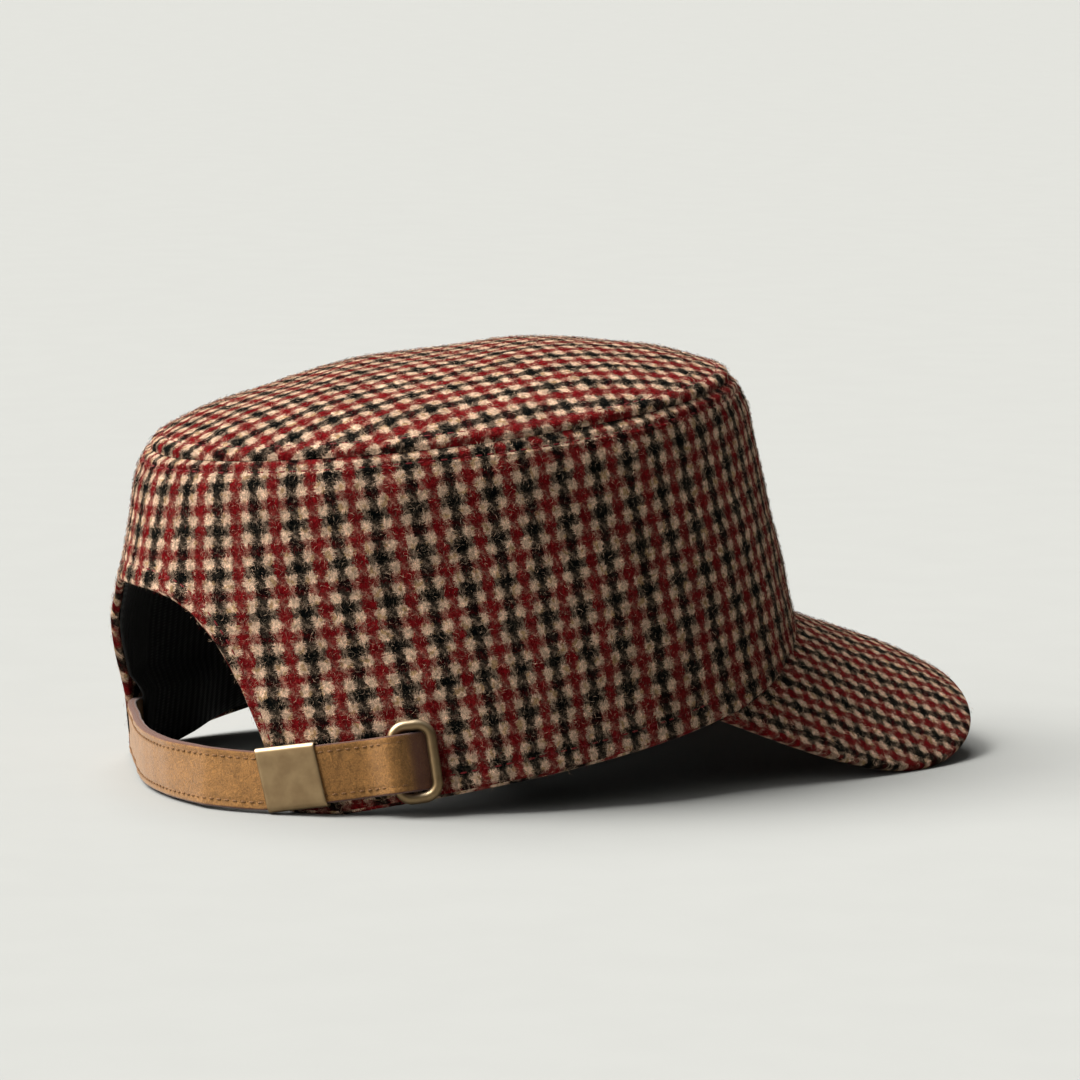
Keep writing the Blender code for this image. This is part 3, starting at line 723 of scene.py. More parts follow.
@functools.cache
def strap_frames(steps=12):
    """Points of the strap's middle line, with its width direction and its outward one."""
    stations = strap_stations()
    ends = [2 * stations[0] - stations[1]] + stations + [2 * stations[-1] - stations[-2]]
    line = []
    for before, start, end, after in zip(ends, ends[1:], ends[2:], ends[3:]):
        length = np.linalg.norm(end - start)
        leave, arrive = unit(end - before) * length, unit(after - start) * length
        for step in range(steps):
            t = step / steps
            line.append(
                start * (2 * t**3 - 3 * t**2 + 1)
                + leave * (t**3 - 2 * t**2 + t)
                + end * (3 * t**2 - 2 * t**3)
                + arrive * (t**3 - t**2)
            )
    line.append(stations[-1])
    line = np.array(line)
    first, last = steps, steps * (2 + len(STRAP_IN_ARCH))
    for _ in range(STRAP_EASING):
        bend = line[first - 1:last - 1] + line[first + 1:last + 1] - 2 * line[first:last]
        line[first:last] += STRAP_EASING_STEP * bend
    along = unit(np.concatenate([line[1:2] - line[:1], line[2:] - line[:-2], line[-1:] - line[-2:-1]]))
    angles = np.arctan2(-line[:, 0] / FOOT_HALF_WIDTH, line[:, 1] / FOOT_HALF_LENGTH)
    half_plate = BUCKLE_LENGTH / 2 * angle_per_metre(BUCKLE_ANGLE)
    off_plate = angles - BUCKLE_ANGLE
    eased = smooth_step(np.abs(off_plate), half_plate, STRAP_PLATE_EASE * half_plate)
    angles = BUCKLE_ANGLE + off_plate * eased
    in_arch = angles / ARCH_HALF_ANGLE
    lean = STRAP_LEAN * smooth_step(in_arch, *STRAP_LEAN_START)
    lean = lean * (1 - smooth_step(in_arch, *STRAP_LEAN_END))
    frames = [route_frame(angle) for angle in angles]
    up = np.array([up + out * tilt for (_, up, out), tilt in zip(frames, lean)])
    across = unit(up - along * dot(up, along))
    return line, across, np.cross(along, across), run_along(line)


def strap_frame_at(distance):
    """Frames of the strap at given distances along it."""
    line, across, out, lengths = strap_frames()
    parts = []
    for values in (line, across, out):
        parts.append(np.stack([np.interp(distance, lengths, axis) for axis in values.T], axis=-1))
    return parts[0], unit(parts[1]), unit(parts[2])


def distance_near(point):
    """Distance along the strap to its place nearest a point."""
    line, _, _, lengths = strap_frames()
    return lengths[np.argmin(np.linalg.norm(line - point, axis=-1))]


# Meshes

def new_mesh(name, points, corners, sizes):
    """Mesh from an array of points, the faces' corners in one row, and the faces' sizes."""
    mesh = bpy.data.meshes.new(name)
    placed = points + np.array([0.0, SHIFT_Y, 0.0])
    mesh.vertices.add(len(placed))
    mesh.vertices.foreach_set("co", placed.astype(np.float32).ravel())
    mesh.loops.add(len(corners))
    mesh.loops.foreach_set("vertex_index", corners.astype(np.int32))
    mesh.polygons.add(len(sizes))
    starts = np.concatenate([[0], np.cumsum(sizes)[:-1]])
    mesh.polygons.foreach_set("loop_start", starts.astype(np.int32))
    mesh.update(calc_edges=True)
    mesh.shade_smooth()
    return mesh


def faced_mesh(name, points, *tables):
    """Mesh from an array of points and tables of faces, a row of corners for each face."""
    corners = np.concatenate([table.ravel() for table in tables])
    sizes = np.concatenate([np.full(len(table), table.shape[1]) for table in tables])
    return new_mesh(name, points.reshape(-1, 3), corners, sizes)


def add_uv(mesh, name, coordinates):
    layer = mesh.uv_layers.new(name=name)
    layer.uv.foreach_set("vector", np.asarray(coordinates, dtype=np.float32).ravel())


def corner_points(mesh):
    """Number of the point at each corner of the faces."""
    points = np.empty(len(mesh.loops), dtype=np.int32)
    mesh.loops.foreach_get("vertex_index", points)
    return points


def add_values(mesh, name, values):
    """One number for each point."""
    layer = mesh.attributes.new(name, "FLOAT", "POINT")
    layer.data.foreach_set("value", np.asarray(values, dtype=np.float32).ravel())


def grid_faces(rows, columns, wrap_rows, wrap_columns):
    """Four corners of each face of a grid of points, which may close up either way."""
    row = np.arange(rows if wrap_rows else rows - 1)
    column = np.arange(columns if wrap_columns else columns - 1)
    row, column = np.meshgrid(row, column, indexing="ij")
    next_row, next_column = (row + 1) % rows, (column + 1) % columns
    quads = np.stack(
        [
            row * columns + column,
            row * columns + next_column,
            next_row * columns + next_column,
            next_row * columns + column,
        ],
        axis=-1,
    )
    return quads.reshape(-1, 4)


def grid_corners(values):
    """Values at the corners of the faces of a grid, from values at its points."""
    corners = np.stack([values[:-1, :-1], values[:-1, 1:], values[1:, 1:], values[1:, :-1]], axis=2)
    return corners.reshape(-1, values.shape[-1])


def closed_mesh(name, grid, flipped=False):
    """Mesh of a grid whose rows and columns both close up."""
    quads = grid_faces(*grid.shape[:2], True, True)
    return faced_mesh(name, grid, quads[:, ::-1] if flipped else quads)


def domed_mesh(name, grid):
    """Mesh of rows round the crown, closed by a fan at both ends."""
    rows, columns = grid.shape[:2]
    quads = grid_faces(rows, columns, False, True)[:, ::-1]
    column = np.arange(columns)
    after = (column + 1) % columns
    count = rows * columns
    base = count - columns
    first_fan = np.stack([column, after, np.full(columns, count)], axis=-1)
    last_fan = np.stack([base + after, base + column, np.full(columns, count + 1)], axis=-1)
    poles = np.array([grid[0].mean(axis=0), grid[-1].mean(axis=0)])
    return faced_mesh(name, np.concatenate([grid.reshape(-1, 3), poles]), quads, first_fan, last_fan)


def half_round(count):
    """Angles spread over a half turn, without its two ends."""
    return math.pi * (np.arange(count) + 1) / (count + 1)


def rolled(start, end, count, rise):
    """Rows that turn over from one row of points to another, bulging up or down between them."""
    rows = []
    for turn in half_round(count):
        between = start * (1 + math.cos(turn)) / 2 + end * (1 - math.cos(turn)) / 2
        rows.append(between + stacked(0.0, 0.0, rise * math.sin(turn)))
    return np.array(rows)


def reversed_corners(values):
    """Values at the corners of a grid whose faces are turned over."""
    return grid_corners(values).reshape(-1, 4, 2)[:, ::-1].reshape(-1, 2)


def add_piece(name, mesh, finish, slot_name, *replaced):
    """Shown piece that rides on the cap and stands for the given CAD nodes."""
    piece = bpy.data.objects.new(name, mesh)
    bpy.context.scene.collection.objects.link(piece)
    piece.data.materials.append(finish)
    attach(piece, "root")
    if replaced:
        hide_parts(*replaced)
    return piece


def edge_angles(count):
    """Angles right round, from the front centre, evenly spaced along the band's lower edge."""
    fine = np.linspace(0, math.pi, EDGE_POINTS)
    lengths = run_along(band_point(fine, lower_edge(fine)))
    half = np.interp(np.linspace(0, lengths[-1], count // 2 + 1), lengths, fine)
    return np.concatenate([-half[:0:-1], half[:-1]])


def band_weave(angle, below_seam, cloth):
    """Place on the band's cloth, counted in yarns round it and down it.

    The yarns lean a little: forwards as they go down, and up as they go forwards.
    """
    table_angles, lengths = round_table()
    distance = np.interp(angle, table_angles, lengths)
    turn = np.abs(angle)
    lean = COLUMN_LEAN * smooth_step(turn, *COLUMN_LEAN_START) * (1 - smooth_step(turn, *COLUMN_LEAN_END))
    round_yarns = cloth.repeats_round * YARNS_IN_CHECK
    across = distance / (lengths[-1] - lengths[0]) * round_yarns
    across = across - np.sign(angle) * lean * below_seam / cloth.yarn_pitch
    down = below_seam + ROW_RISE * (np.hypot(distance, ROW_BEND) - ROW_BEND)
    return across, down / cloth.yarn_pitch


def weave_colour(across, down, colours):
    """Colour of the yarn that lies on top at places on the cloth."""
    phases = [(place - YARNS_IN_STRIPE / 2) * math.pi / YARNS_IN_STRIPE for place in (across, down)]
    across = across - (STRIPE_SWELL * np.cos(phases[1]) - STRIPE_SQUEEZE) * np.sin(phases[0])
    column, row = np.floor(across).astype(int), np.floor(down).astype(int)
    dark_column = column // YARNS_IN_STRIPE % 2 == 1
    floats = YARNS_IN_STRIPE // 2 + dark_column
    on_top = np.mod(column - row, YARNS_IN_STRIPE) < floats
    stripe = np.where(on_top, column, row) // YARNS_IN_STRIPE % STRIPES
    return colours[stripe]


# Materials

def linear(colour):
    """Linear colour from one given in the shades of a screen."""
    value = np.asarray(colour, dtype=float)
    return np.where(value <= 0.04045, value / 12.92, ((value + 0.055) / 1.055) ** 2.4)


class Finish:
    """Node-based material in the making."""

    def __init__(self, name, **sockets):
        self.material = bpy.data.materials.new(name)
        self.material.use_nodes = True
        self.tree = self.material.node_tree
        self.shader = self.tree.nodes["Principled BSDF"]
        for socket, value in sockets.items():
            self.shader.inputs[socket.replace("_", " ")].default_value = value

    def node(self, kind, inputs=None, **settings):
        made = self.tree.nodes.new(kind)
        for name, value in settings.items():
            setattr(made, name, value)
        for name, value in (inputs or {}).items():
            self.feed(made.inputs[name], value)
        return made

    def feed(self, socket, value):
        if isinstance(value, bpy.types.NodeSocket):
            self.tree.links.new(value, socket)
        else:
            socket.default_value = value

    def calc(self, operation, *values):
        made = self.node("ShaderNodeMath", operation=operation)
        for socket, value in zip(made.inputs, values):
            self.feed(socket, value)
        return made.outputs[0]

    def plus(self, first, second):
        return self.calc("ADD", first, second)

    def minus(self, first, second):
        return self.calc("SUBTRACT", first, second)

    def times(self, first, second):
        return self.calc("MULTIPLY", first, second)

    def mix(self, share, first, second, blend="MIX"):
        made = self.node("ShaderNodeMix", data_type="RGBA", blend_type=blend)
        for index, value in ((0, share), (6, first), (7, second)):
            self.feed(made.inputs[index], value)
        return made.outputs[2]

    def ramp(self, value, *stops, interpolation="LINEAR"):
        """Colour or grey ramp of (position, value) stops."""
        made = self.node("ShaderNodeValToRGB", {"Fac": value})
        elements = made.color_ramp.elements
        made.color_ramp.interpolation = interpolation
        while len(elements) < len(stops):
            elements.new(1.0)
        for element, (position, colour) in zip(elements, stops):
            element.position = position
            element.color = colour if len(np.shape(colour)) else (colour, colour, colour, 1.0)
        return made.outputs[0]

    def noise(self, place, scale, detail=2.0, roughness=0.5, distortion=0.0, colour=False):
        inputs = {
            "Vector": place,
            "Scale": scale,
            "Detail": detail,
            "Roughness": roughness,
            "Distortion": distortion,
        }
        return self.node("ShaderNodeTexNoise", inputs).outputs[1 if colour else 0]

    def place(self):
        """Place on the piece, in metres."""
        return self.node("ShaderNodeTexCoord").outputs["Object"]

    def mapped(self, name):
        """Place on a UV map."""
        return self.node("ShaderNodeUVMap", uv_map=name).outputs[0]

    def attribute(self, name, output="Fac"):
        return self.node("ShaderNodeAttribute", attribute_name=name).outputs[output]

    def scaled(self, place, factors):
        return self.node("ShaderNodeVectorMath", {0: place, 1: factors}, operation="MULTIPLY").outputs[0]

    def shifted(self, place, other):
        return self.node("ShaderNodeVectorMath", {0: place, 1: other}, operation="ADD").outputs[0]

    def split(self, place):
        made = self.node("ShaderNodeSeparateXYZ", {0: place})
        return made.outputs[0], made.outputs[1]

    def bump(self, height, distance, strength):
        inputs = {"Height": height, "Distance": distance, "Strength": strength}
        return self.node("ShaderNodeBump", inputs).outputs[0]

    def frayed(self, woven, seed, reach):
        """Place on the cloth, shifted in fine streaks so that the edges of its yarns look hairy."""
        offsets = []
        for factors in FRAY_STREAKS:
            streaks = self.noise(self.shifted(self.scaled(woven, factors), (seed, seed, seed)), 1.0)
            offsets.append(self.times(self.minus(streaks, 0.5), reach))
        offset = self.node("ShaderNodeCombineXYZ", {0: offsets[0], 1: offsets[1]}).outputs[0]
        return self.shifted(woven, offset)

    def checked(self, woven, cloth):
        """Colour at a place on the cloth, and the roundness of the yarn there.

        The yarn on top gives the colour, with a little of the one below where dark and pale yarns cross.
        """
        across, down = self.split(woven)
        phases = []
        for place in (across, down):
            from_middle = self.minus(place, YARNS_IN_STRIPE / 2)
            phases.append(self.times(from_middle, math.pi / YARNS_IN_STRIPE))
        push = self.calc("MULTIPLY_ADD", self.calc("COSINE", phases[1]), STRIPE_SWELL, -STRIPE_SQUEEZE)
        across = self.minus(across, self.times(push, self.calc("SINE", phases[0])))
        column, row = self.calc("FLOOR", across), self.calc("FLOOR", down)
        turn = self.calc("FLOORED_MODULO", self.minus(column, row), float(YARNS_IN_STRIPE))
        cream = rgba(cloth.cream)
        stripes = ((0.0, cream), (0.25, rgba(cloth.red)), (0.5, cream), (0.75, rgba(cloth.black)))
        colours, darks, profiles = [], [], []
        for yarn, value in ((column, across), (row, down)):
            checks = self.calc("DIVIDE", self.plus(yarn, 0.5), float(YARNS_IN_CHECK))
            share = self.calc("FRACT", checks)
            colours.append(self.ramp(share, *stripes, interpolation="CONSTANT"))
            half_share = self.calc("FRACT", self.times(share, 2.0))
            darks.append(self.calc("GREATER_THAN", half_share, 0.5))
            middle = self.minus(self.calc("FRACT", value), 0.5)
            squared = self.times(self.times(middle, middle), 4.0)
            profiles.append(self.minus(1.0, squared))
        floats = self.plus(YARNS_IN_STRIPE / 2 - 0.5, darks[0])
        warp_up = self.calc("LESS_THAN", turn, floats)
        under_dark = self.times(darks[0], self.minus(1.0, warp_up))
        neck = self.times(self.times(darks[1], self.minus(1.0, darks[0])), warp_up)
        rounded = self.node("ShaderNodeMix", {0: warp_up, 2: profiles[1], 3: profiles[0]}).outputs[0]
        top, below = self.mix(warp_up, colours[1], colours[0]), self.mix(warp_up, *colours)
        shared = self.calc("MULTIPLY_ADD", under_dark, CROSS_YARN_SHOW, self.times(neck, NECK_SHOW))
        return self.mix(self.plus(shared, LEAST_SHOW), top, below), rounded

    def finish(self, **links):
        for socket, value in links.items():
            self.feed(self.shader.inputs[socket.replace("_", " ")], value)
        return self.material


def rgba(colour, factor=1.0):
    """Colour with its alpha, made lighter or darker by a factor."""
    return (*[min(1.0, float(part) * factor) for part in colour[:3]], 1.0)


def tweed_finish(cloth, name="check_tweed_weave"):
    """Gun-club check in a twill of hairy wool yarns, in which the dark upright ones float longer."""
    made = Finish(name, Roughness=0.95, Specular_IOR_Level=0.02)
    place = made.place()
    drift = made.shifted(made.noise(place, scale=330.0, colour=True), (-0.5, -0.5, 0.0))
    drift = made.scaled(drift, (WEAVE_DRIFT, WEAVE_DRIFT, 0.0))
    woven = made.shifted(made.mapped("weave"), drift)
    colour, rounded = made.checked(made.frayed(woven, 0.0, FRAY_REACH), cloth)
    loose, _ = made.checked(made.frayed(woven, 9.0, LOOSE_FRAY_REACH), cloth)
    tangle = made.noise(woven, scale=1.5, detail=3.0, roughness=0.6, distortion=1.6)
    colour = made.mix(made.ramp(tangle, (0.44, 0.0), (0.56, 0.6)), colour, loose)
    flecks = made.ramp(made.noise(place, scale=560.0, detail=1.0), (0.56, 0.0), (0.64, 0.75))
    green = made.node("ShaderNodeSeparateColor", {0: colour}).outputs[1]
    creamy = made.ramp(green, (0.18, 0.0), (0.34, 1.0))
    colour = made.mix(made.times(flecks, creamy), colour, rgba(cloth.ochre))
    along_yarns = made.scaled(woven, (1.3, 0.9, 1.0))
    strands = made.noise(along_yarns, scale=1.25, detail=3.0, roughness=0.62, distortion=1.1)
    lumps = made.noise(place, scale=900.0)
    patches = made.noise(place, scale=90.0)
    shade = made.calc("MULTIPLY_ADD", rounded, 0.36, 0.68)
    shade = made.times(shade, made.ramp(strands, (0.30, 0.50), (0.70, 1.38)))
    shade = made.times(shade, made.ramp(lumps, (0.30, 0.60), (0.68, 1.24)))
    shade = made.times(shade, made.ramp(patches, (0.3, 0.88), (0.7, 1.12)))
    grey = made.node("ShaderNodeCombineColor", {0: shade, 1: shade, 2: shade}).outputs[0]
    colour = made.mix(1.0, colour, grey, "MULTIPLY")
    hair = 0.0
    for scale, seed in ((560.0, 3.1), (760.0, 7.7), (900.0, 5.3)):
        curls = made.shifted(place, (seed, seed, seed))
        field = made.noise(curls, scale=scale, detail=1.5, distortion=1.2)
        away = made.calc("ABSOLUTE", made.minus(field, 0.5))
        clumps = made.noise(made.shifted(place, (seed, 0.0, seed)), scale=480.0, detail=1.0)
        gate = made.ramp(clumps, (0.50, 0.0), (0.60, 1.0))
        line = made.times(made.ramp(away, (0.0, 1.0), (0.028, 0.0)), gate)
        hair = made.calc("MAXIMUM", hair, line)
    colour = made.mix(made.times(hair, 0.12), colour, rgba(cloth.hair))
    height = made.calc("MULTIPLY_ADD", rounded, 0.3, made.times(strands, 0.8))
    height = made.plus(height, made.times(lumps, 0.5))
    return made.finish(Base_Color=colour, Normal=made.bump(height, 0.0007, 0.9))


def lining_finish(cloth):
    """Black cotton with faint ribs that run up it, with painted shade in the hollows between the ribs."""
    made = Finish("black_lining_cloth", Roughness=0.85, Specular_IOR_Level=0.25, Sheen_Weight=0.05)
    across, down = made.split(made.mapped("ribs"))
    rib = made.calc("SINE", made.times(across, 2 * math.pi))
    thread = made.calc("SINE", made.times(down, 2 * math.pi * 3.0))
    lint = made.noise(made.place(), scale=700.0, detail=3.0, roughness=0.7)
    lint = made.times(made.ramp(lint, (0.58, 0.0), (0.75, 1.0)), 0.25)
    ribs = made.ramp(rib, (0.2, 0.0), (1.0, 1.0))
    # Painted shade across the ribs: their hollows keep the lining colour and their crests are painted
    # lighter.
    colour = made.mix(ribs, rgba(cloth.lining), rgba(cloth.lining, 1.7))
    colour = made.mix(lint, colour, rgba(cloth.lining, 6.0))
    height = made.plus(rib, made.times(thread, 0.25))
    return made.finish(Base_Color=colour, Normal=made.bump(height, 0.0002, 0.6))


def suede_finish(strap):
    """Brushed suede with mottled nap, plum edges, and a darker end past the loop's rear bar that is partly
    wear and partly painted shade.
    """
    made = Finish(
        "tan_suede_nap", Roughness=0.93, Specular_IOR_Level=0.15, Sheen_Weight=0.25, Sheen_Roughness=0.5
    )
    place = made.place()
    tan, deep, pale = rgba(strap.suede), rgba(strap.suede, 0.82), rgba(strap.suede, 1.14)
    cloud = made.noise(place, scale=260.0, detail=3.0, roughness=0.55, distortion=0.8)
    colour = made.ramp(cloud, (0.30, deep), (0.5, tan), (0.72, pale))
    nap = made.noise(place, scale=900.0, detail=3.0, roughness=0.6, distortion=2.0)
    colour = made.mix(1.0, colour, made.ramp(nap, (0.30, 0.60), (0.68, 1.20)), "MULTIPLY")
    fine = made.noise(place, scale=2400.0, detail=3.0, roughness=0.7)
    colour = made.mix(0.5, colour, made.ramp(fine, (0.3, 0.45), (0.7, 1.1)), "MULTIPLY")
    tatters = made.minus(made.noise(place, scale=900.0, detail=3.0), 0.5)
    ragged = made.plus(made.attribute("edge"), made.times(tatters, 0.5))
    colour = made.mix(made.ramp(ragged, (0.55, 0.0), (0.80, 1.0)), colour, rgba(strap.edge_colour))
    # Wear and painted shade: the strap darkens where it turns over the loop's rear bar into the band.
    colour = made.mix(made.times(made.attribute("wear_and_shade"), 0.75), colour, rgba(strap.worn_and_shaded_colour))
    height = made.calc("MULTIPLY_ADD", nap, 0.8, made.times(fine, 0.6))
    return made.finish(Base_Color=colour, Normal=made.bump(height, 0.00028, 0.8))


def brass_finish(metal):
    """Satin brass with a brown patina, fine scratches and a painted highlight on the faces that turn
    upwards.
    """
    made = Finish("antique_brass_satin", Metallic=1.0, Roughness=0.34)
    place = made.place()
    cloud = made.noise(place, scale=210.0, detail=3.0)
    grain = made.noise(made.scaled(place, (1.0, 1.0, 7.0)), scale=900.0, detail=3.0, roughness=0.6)
    colour = made.ramp(cloud, (0.32, rgba(metal.patina)), (0.62, rgba(metal.brass)))
    # Painted highlight: faces that turn upwards are mixed towards a pale brass, as if lit from above.
    facing = made.node("ShaderNodeNewGeometry").outputs["Normal"]
    upward = made.node("ShaderNodeSeparateXYZ", {0: facing}).outputs[2]
    colour = made.mix(made.ramp(upward, (0.35, 0.0), (0.85, 1.0)), colour, rgba(metal.painted_highlight))
    rough = made.plus(made.ramp(cloud, (0.3, 0.44), (0.7, 0.37)), made.times(grain, 0.12))
    height = made.plus(made.times(cloud, 0.15), made.times(grain, 0.3))
    return made.finish(Base_Color=colour, Roughness=rough, Normal=made.bump(height, 0.00006, 0.5))


def thread_finish(name, colour):
    """Twisted sewing thread."""
    made = Finish(name, Roughness=0.7, Specular_IOR_Level=0.3)
    along, around = made.split(made.mapped("thread"))
    turns = made.plus(made.times(along, 4.0), around)
    twist = made.calc("SINE", made.times(turns, 2 * math.pi))
    light_share = made.calc("MULTIPLY_ADD", twist, 0.5, 0.5)
    shade = made.mix(light_share, rgba(colour, 0.55), rgba(colour, 1.25))
    return made.finish(Base_Color=shade, Normal=made.bump(twist, 0.00004, 0.6))


def hair_finish(cloth):
    """Loose wool hairs, each in its own colour."""
    made = Finish("wool_nap_hairs", Roughness=0.95, Specular_IOR_Level=0.03)
    tint = made.attribute("hair_colour", "Color")
    uneven = made.ramp(made.noise(made.place(), scale=800.0), (0.3, 0.78), (0.7, 1.15))
    return made.finish(Base_Color=made.mix(1.0, tint, uneven, "MULTIPLY"))


def floor_finish(stage):
    """Matt paper sweep."""
    made = Finish("studio_paper", Roughness=0.95, Specular_IOR_Level=0.1)
    grain = made.noise(made.place(), scale=40.0, detail=4.0)
    softer = rgba(stage.floor, 0.985)
    return made.finish(Base_Color=made.ramp(grain, (0.35, softer), (0.65, rgba(stage.floor))))


# Settings

def colour_setting(name, description, shade):
    return bpy.props.FloatVectorProperty(
        name=name, description=description, subtype="COLOR", size=3, min=0.0, max=1.0,
        default=tuple(float(part) for part in linear(np.array(shade) / 255)),
    )


def length_setting(name, description, default):
    return bpy.props.FloatProperty(
        name=name, description=description, default=default, min=0.0, unit="LENGTH", precision=5
    )


def strength_setting(name, description, default):
    return bpy.props.FloatProperty(name=name, description=description, default=default, min=0.0)


class CapClothSettings(bpy.types.PropertyGroup):
    """Tweed, lining and sewing thread."""

    repeats_round: bpy.props.IntProperty(
        name="Checks round", description="Whole checks round the band", default=47, min=8
    )
    yarn_pitch: length_setting("Yarn pitch", "From one yarn to the next", 0.000735)
    cream: colour_setting("Cream yarn", "Colour of the light yarns", (228, 193, 164))
    ochre: colour_setting("Ochre flecks", "Colour of the flecks in the light yarns", (171, 134, 83))
    red: colour_setting("Red yarn", "Colour of the red yarns", (118, 17, 21))
    black: colour_setting("Black yarn", "Colour of the darkest yarns", (5, 8, 7))
    hair: colour_setting("Loose hairs", "Colour of the pale loose hairs", (180, 161, 138))
    lining: colour_setting("Lining", "Colour of the lining", (6, 5, 4))
    thread: colour_setting("Thread", "Colour of the topstitching", (118, 18, 22))
    hair_length: length_setting("Hair length", "Mean length of the loose hairs", 0.0013)
    hair_width: length_setting("Hair width", "Width of the loose hairs", 0.00008)
    stitch_pitch: length_setting("Stitch pitch", "From one stitch to the next", 0.0031)


class CapStrapSettings(bpy.types.PropertyGroup):
    """Suede strap."""

    suede: colour_setting("Suede", "Colour of the suede", (151, 107, 58))
    edge_colour: colour_setting("Cut edges", "Colour of the strap's cut edges", (97, 66, 54))
    # Colour of the wear and painted shade at the strap's end past the loop's rear bar.
    worn_and_shaded_colour: colour_setting("Worn end", "Colour where the strap is bent and rubbed", (76, 43, 41))
    thread: colour_setting("Thread", "Colour of the strap's stitches", (128, 91, 55))
    stitch_inset: length_setting("Stitch inset", "From the edge to the stitches", STRAP_STITCH_INSET)
    stitch_pitch: length_setting("Stitch pitch", "From one stitch to the next", 0.0024)


class CapMetalSettings(bpy.types.PropertyGroup):
    """Plate and loop."""

    brass: colour_setting("Brass", "Colour of the clean metal", (143, 121, 89))
    # Pale colour of the painted highlight on faces that turn upwards.
    painted_highlight: colour_setting("Rubbed rims", "Colour of the rubbed upper rims", (220, 200, 168))
    patina: colour_setting("Patina", "Colour of the aged metal", (126, 104, 75))


class CapStageSettings(bpy.types.PropertyGroup):
    """Floor, light and backdrop."""

    floor: colour_setting("Paper", "Colour of the paper floor", (152, 153, 151))
    floor_radius: length_setting("Floor radius", "Reach of the floor", 40.0)
    key: strength_setting("Key light", "Strength of the soft light from the left", 5.95)
    top: strength_setting("Top light", "Strength of the soft light from above and behind", 2.95)
    side: strength_setting("Side light", "Strength of the soft light from beside the camera", 0.9)
    spread: bpy.props.FloatProperty(
        name="Spread", description="How wide the soft lights are", default=math.radians(42),
        min=0.0, max=math.pi, unit="ROTATION",
    )
    room: strength_setting("Room light", "Strength of the light from all round", 0.12)
    horizon: strength_setting("Backdrop", "Brightness of the backdrop behind the floor", 0.5)


# Pieces

class CAP_OT_tweed_band(bpy.types.Operator):
    """Make the tweed band of the crown"""

    bl_idname = "cap.tweed_band"
    bl_label = "Tweed band"

    def execute(self, context):
        cloth = context.scene.cap_cloth
        angles = edge_angles(BAND_COLUMNS)
        edge = lower_edge(angles)
        top = seam_height(angles) - SEAM_TOUCH
        half_wall = WALL_THICKNESS / 2
        seam_drops = np.concatenate([np.linspace(*run) for run in SEAM_ROWS])
        low, high = edge + (half_wall + HEM_ROWS[-1]), top - seam_drops[0]
        rows = [edge + (half_wall + rise) for rise in HEM_ROWS]
        rows += [low + (high - low) * share for share in np.linspace(0, 1, BAND_ROWS + 2)[1:-1]]
        rows += [top - drop for drop in seam_drops]
        heights = np.array(rows)
        outer = band_surface(np.broadcast_to(angles, heights.shape), heights)[0]
        fall = edge + WALL_THICKNESS - top
        heights = np.array([top - half_wall + fall * share for share in np.linspace(0, 1, BAND_INNER_ROWS)])
        wide = np.broadcast_to(angles, heights.shape)
        inner = band_point(wide, heights, WALL_THICKNESS - side_flare(wide, heights))
        top_roll = rolled(outer[-1], inner[0], SEAM_ROLL_ROWS, -half_wall * BAND_ROLL_BULGE)
        foot_roll = rolled(inner[-1], outer[0], HEM_ROLL_ROWS, -half_wall)
        grid = np.concatenate([outer, top_roll, inner, foot_roll])
        mesh = closed_mesh("tweed_band", grid)
        down = run_along(np.concatenate([grid, grid[:1]]))
        down = down[len(outer) - 1] - down
        down = np.concatenate([down, down[:, :1]], axis=1)
        right_round = np.broadcast_to(np.append(angles, -angles[0]), down.shape)
        add_uv(mesh, "weave", grid_corners(np.stack(band_weave(right_round, down, cloth), axis=-1)))
        add_piece("tweed_band", mesh, tweed_finish(cloth), "check_tweed", "crown_wall")
        return {"FINISHED"}


def top_weave(angle, distance, cloth):
    """Place on the cloth of the top panel, laid out flat and counted in yarns."""
    reach = dome_table()[1][0]
    x, y = oval(angle, SEAM_HALF_LENGTH, SEAM_HALF_WIDTH, SEAM_DIAGONAL_EASE)
    stretch = (reach - distance) / SEAM_HALF_WIDTH / cloth.yarn_pitch
    return np.stack([x * stretch, -y * stretch], axis=-1)


class CAP_OT_tweed_top(bpy.types.Operator):
    """Make the domed tweed top panel"""

    bl_idname = "cap.tweed_top"
    bl_label = "Tweed top"

    def execute(self, context):
        cloth = context.scene.cap_cloth
        angles = np.linspace(-math.pi, math.pi, TOP_COLUMNS, endpoint=False)
        near = np.concatenate([np.linspace(*run) for run in TOP_SEAM_ROWS])
        far = np.linspace(near[-1], rim_distance(np.float64(TOP_POLE_RING)), TOP_ROWS)[1:]
        from_rim = np.concatenate([near, far])
        outer = dome_surface(*np.meshgrid(angles, ring_at(from_rim)))[0]
        wide, ring = np.meshgrid(angles, np.linspace(TOP_POLE_RING, 1.0, TOP_INNER_ROWS))
        inner = dome_point(wide, ring, WALL_THICKNESS, TOP_THICKNESS)
        roll = rolled(inner[-1], outer[0], SEAM_ROLL_ROWS, WALL_THICKNESS / 2 * TOP_ROLL_BULGE)
        mesh = domed_mesh("tweed_top", np.concatenate([inner, roll, outer]))
        from_rim = np.concatenate([np.zeros(len(inner) + len(roll)), from_rim])
        woven = top_weave(*np.meshgrid(angles, from_rim), cloth).reshape(-1, 2)
        add_uv(mesh, "weave", np.concatenate([woven, np.zeros((2, 2))])[corner_points(mesh)])
        add_piece("tweed_top", mesh, tweed_finish(cloth, "check_tweed_top"), "check_tweed", "crown_top")
        return {"FINISHED"}


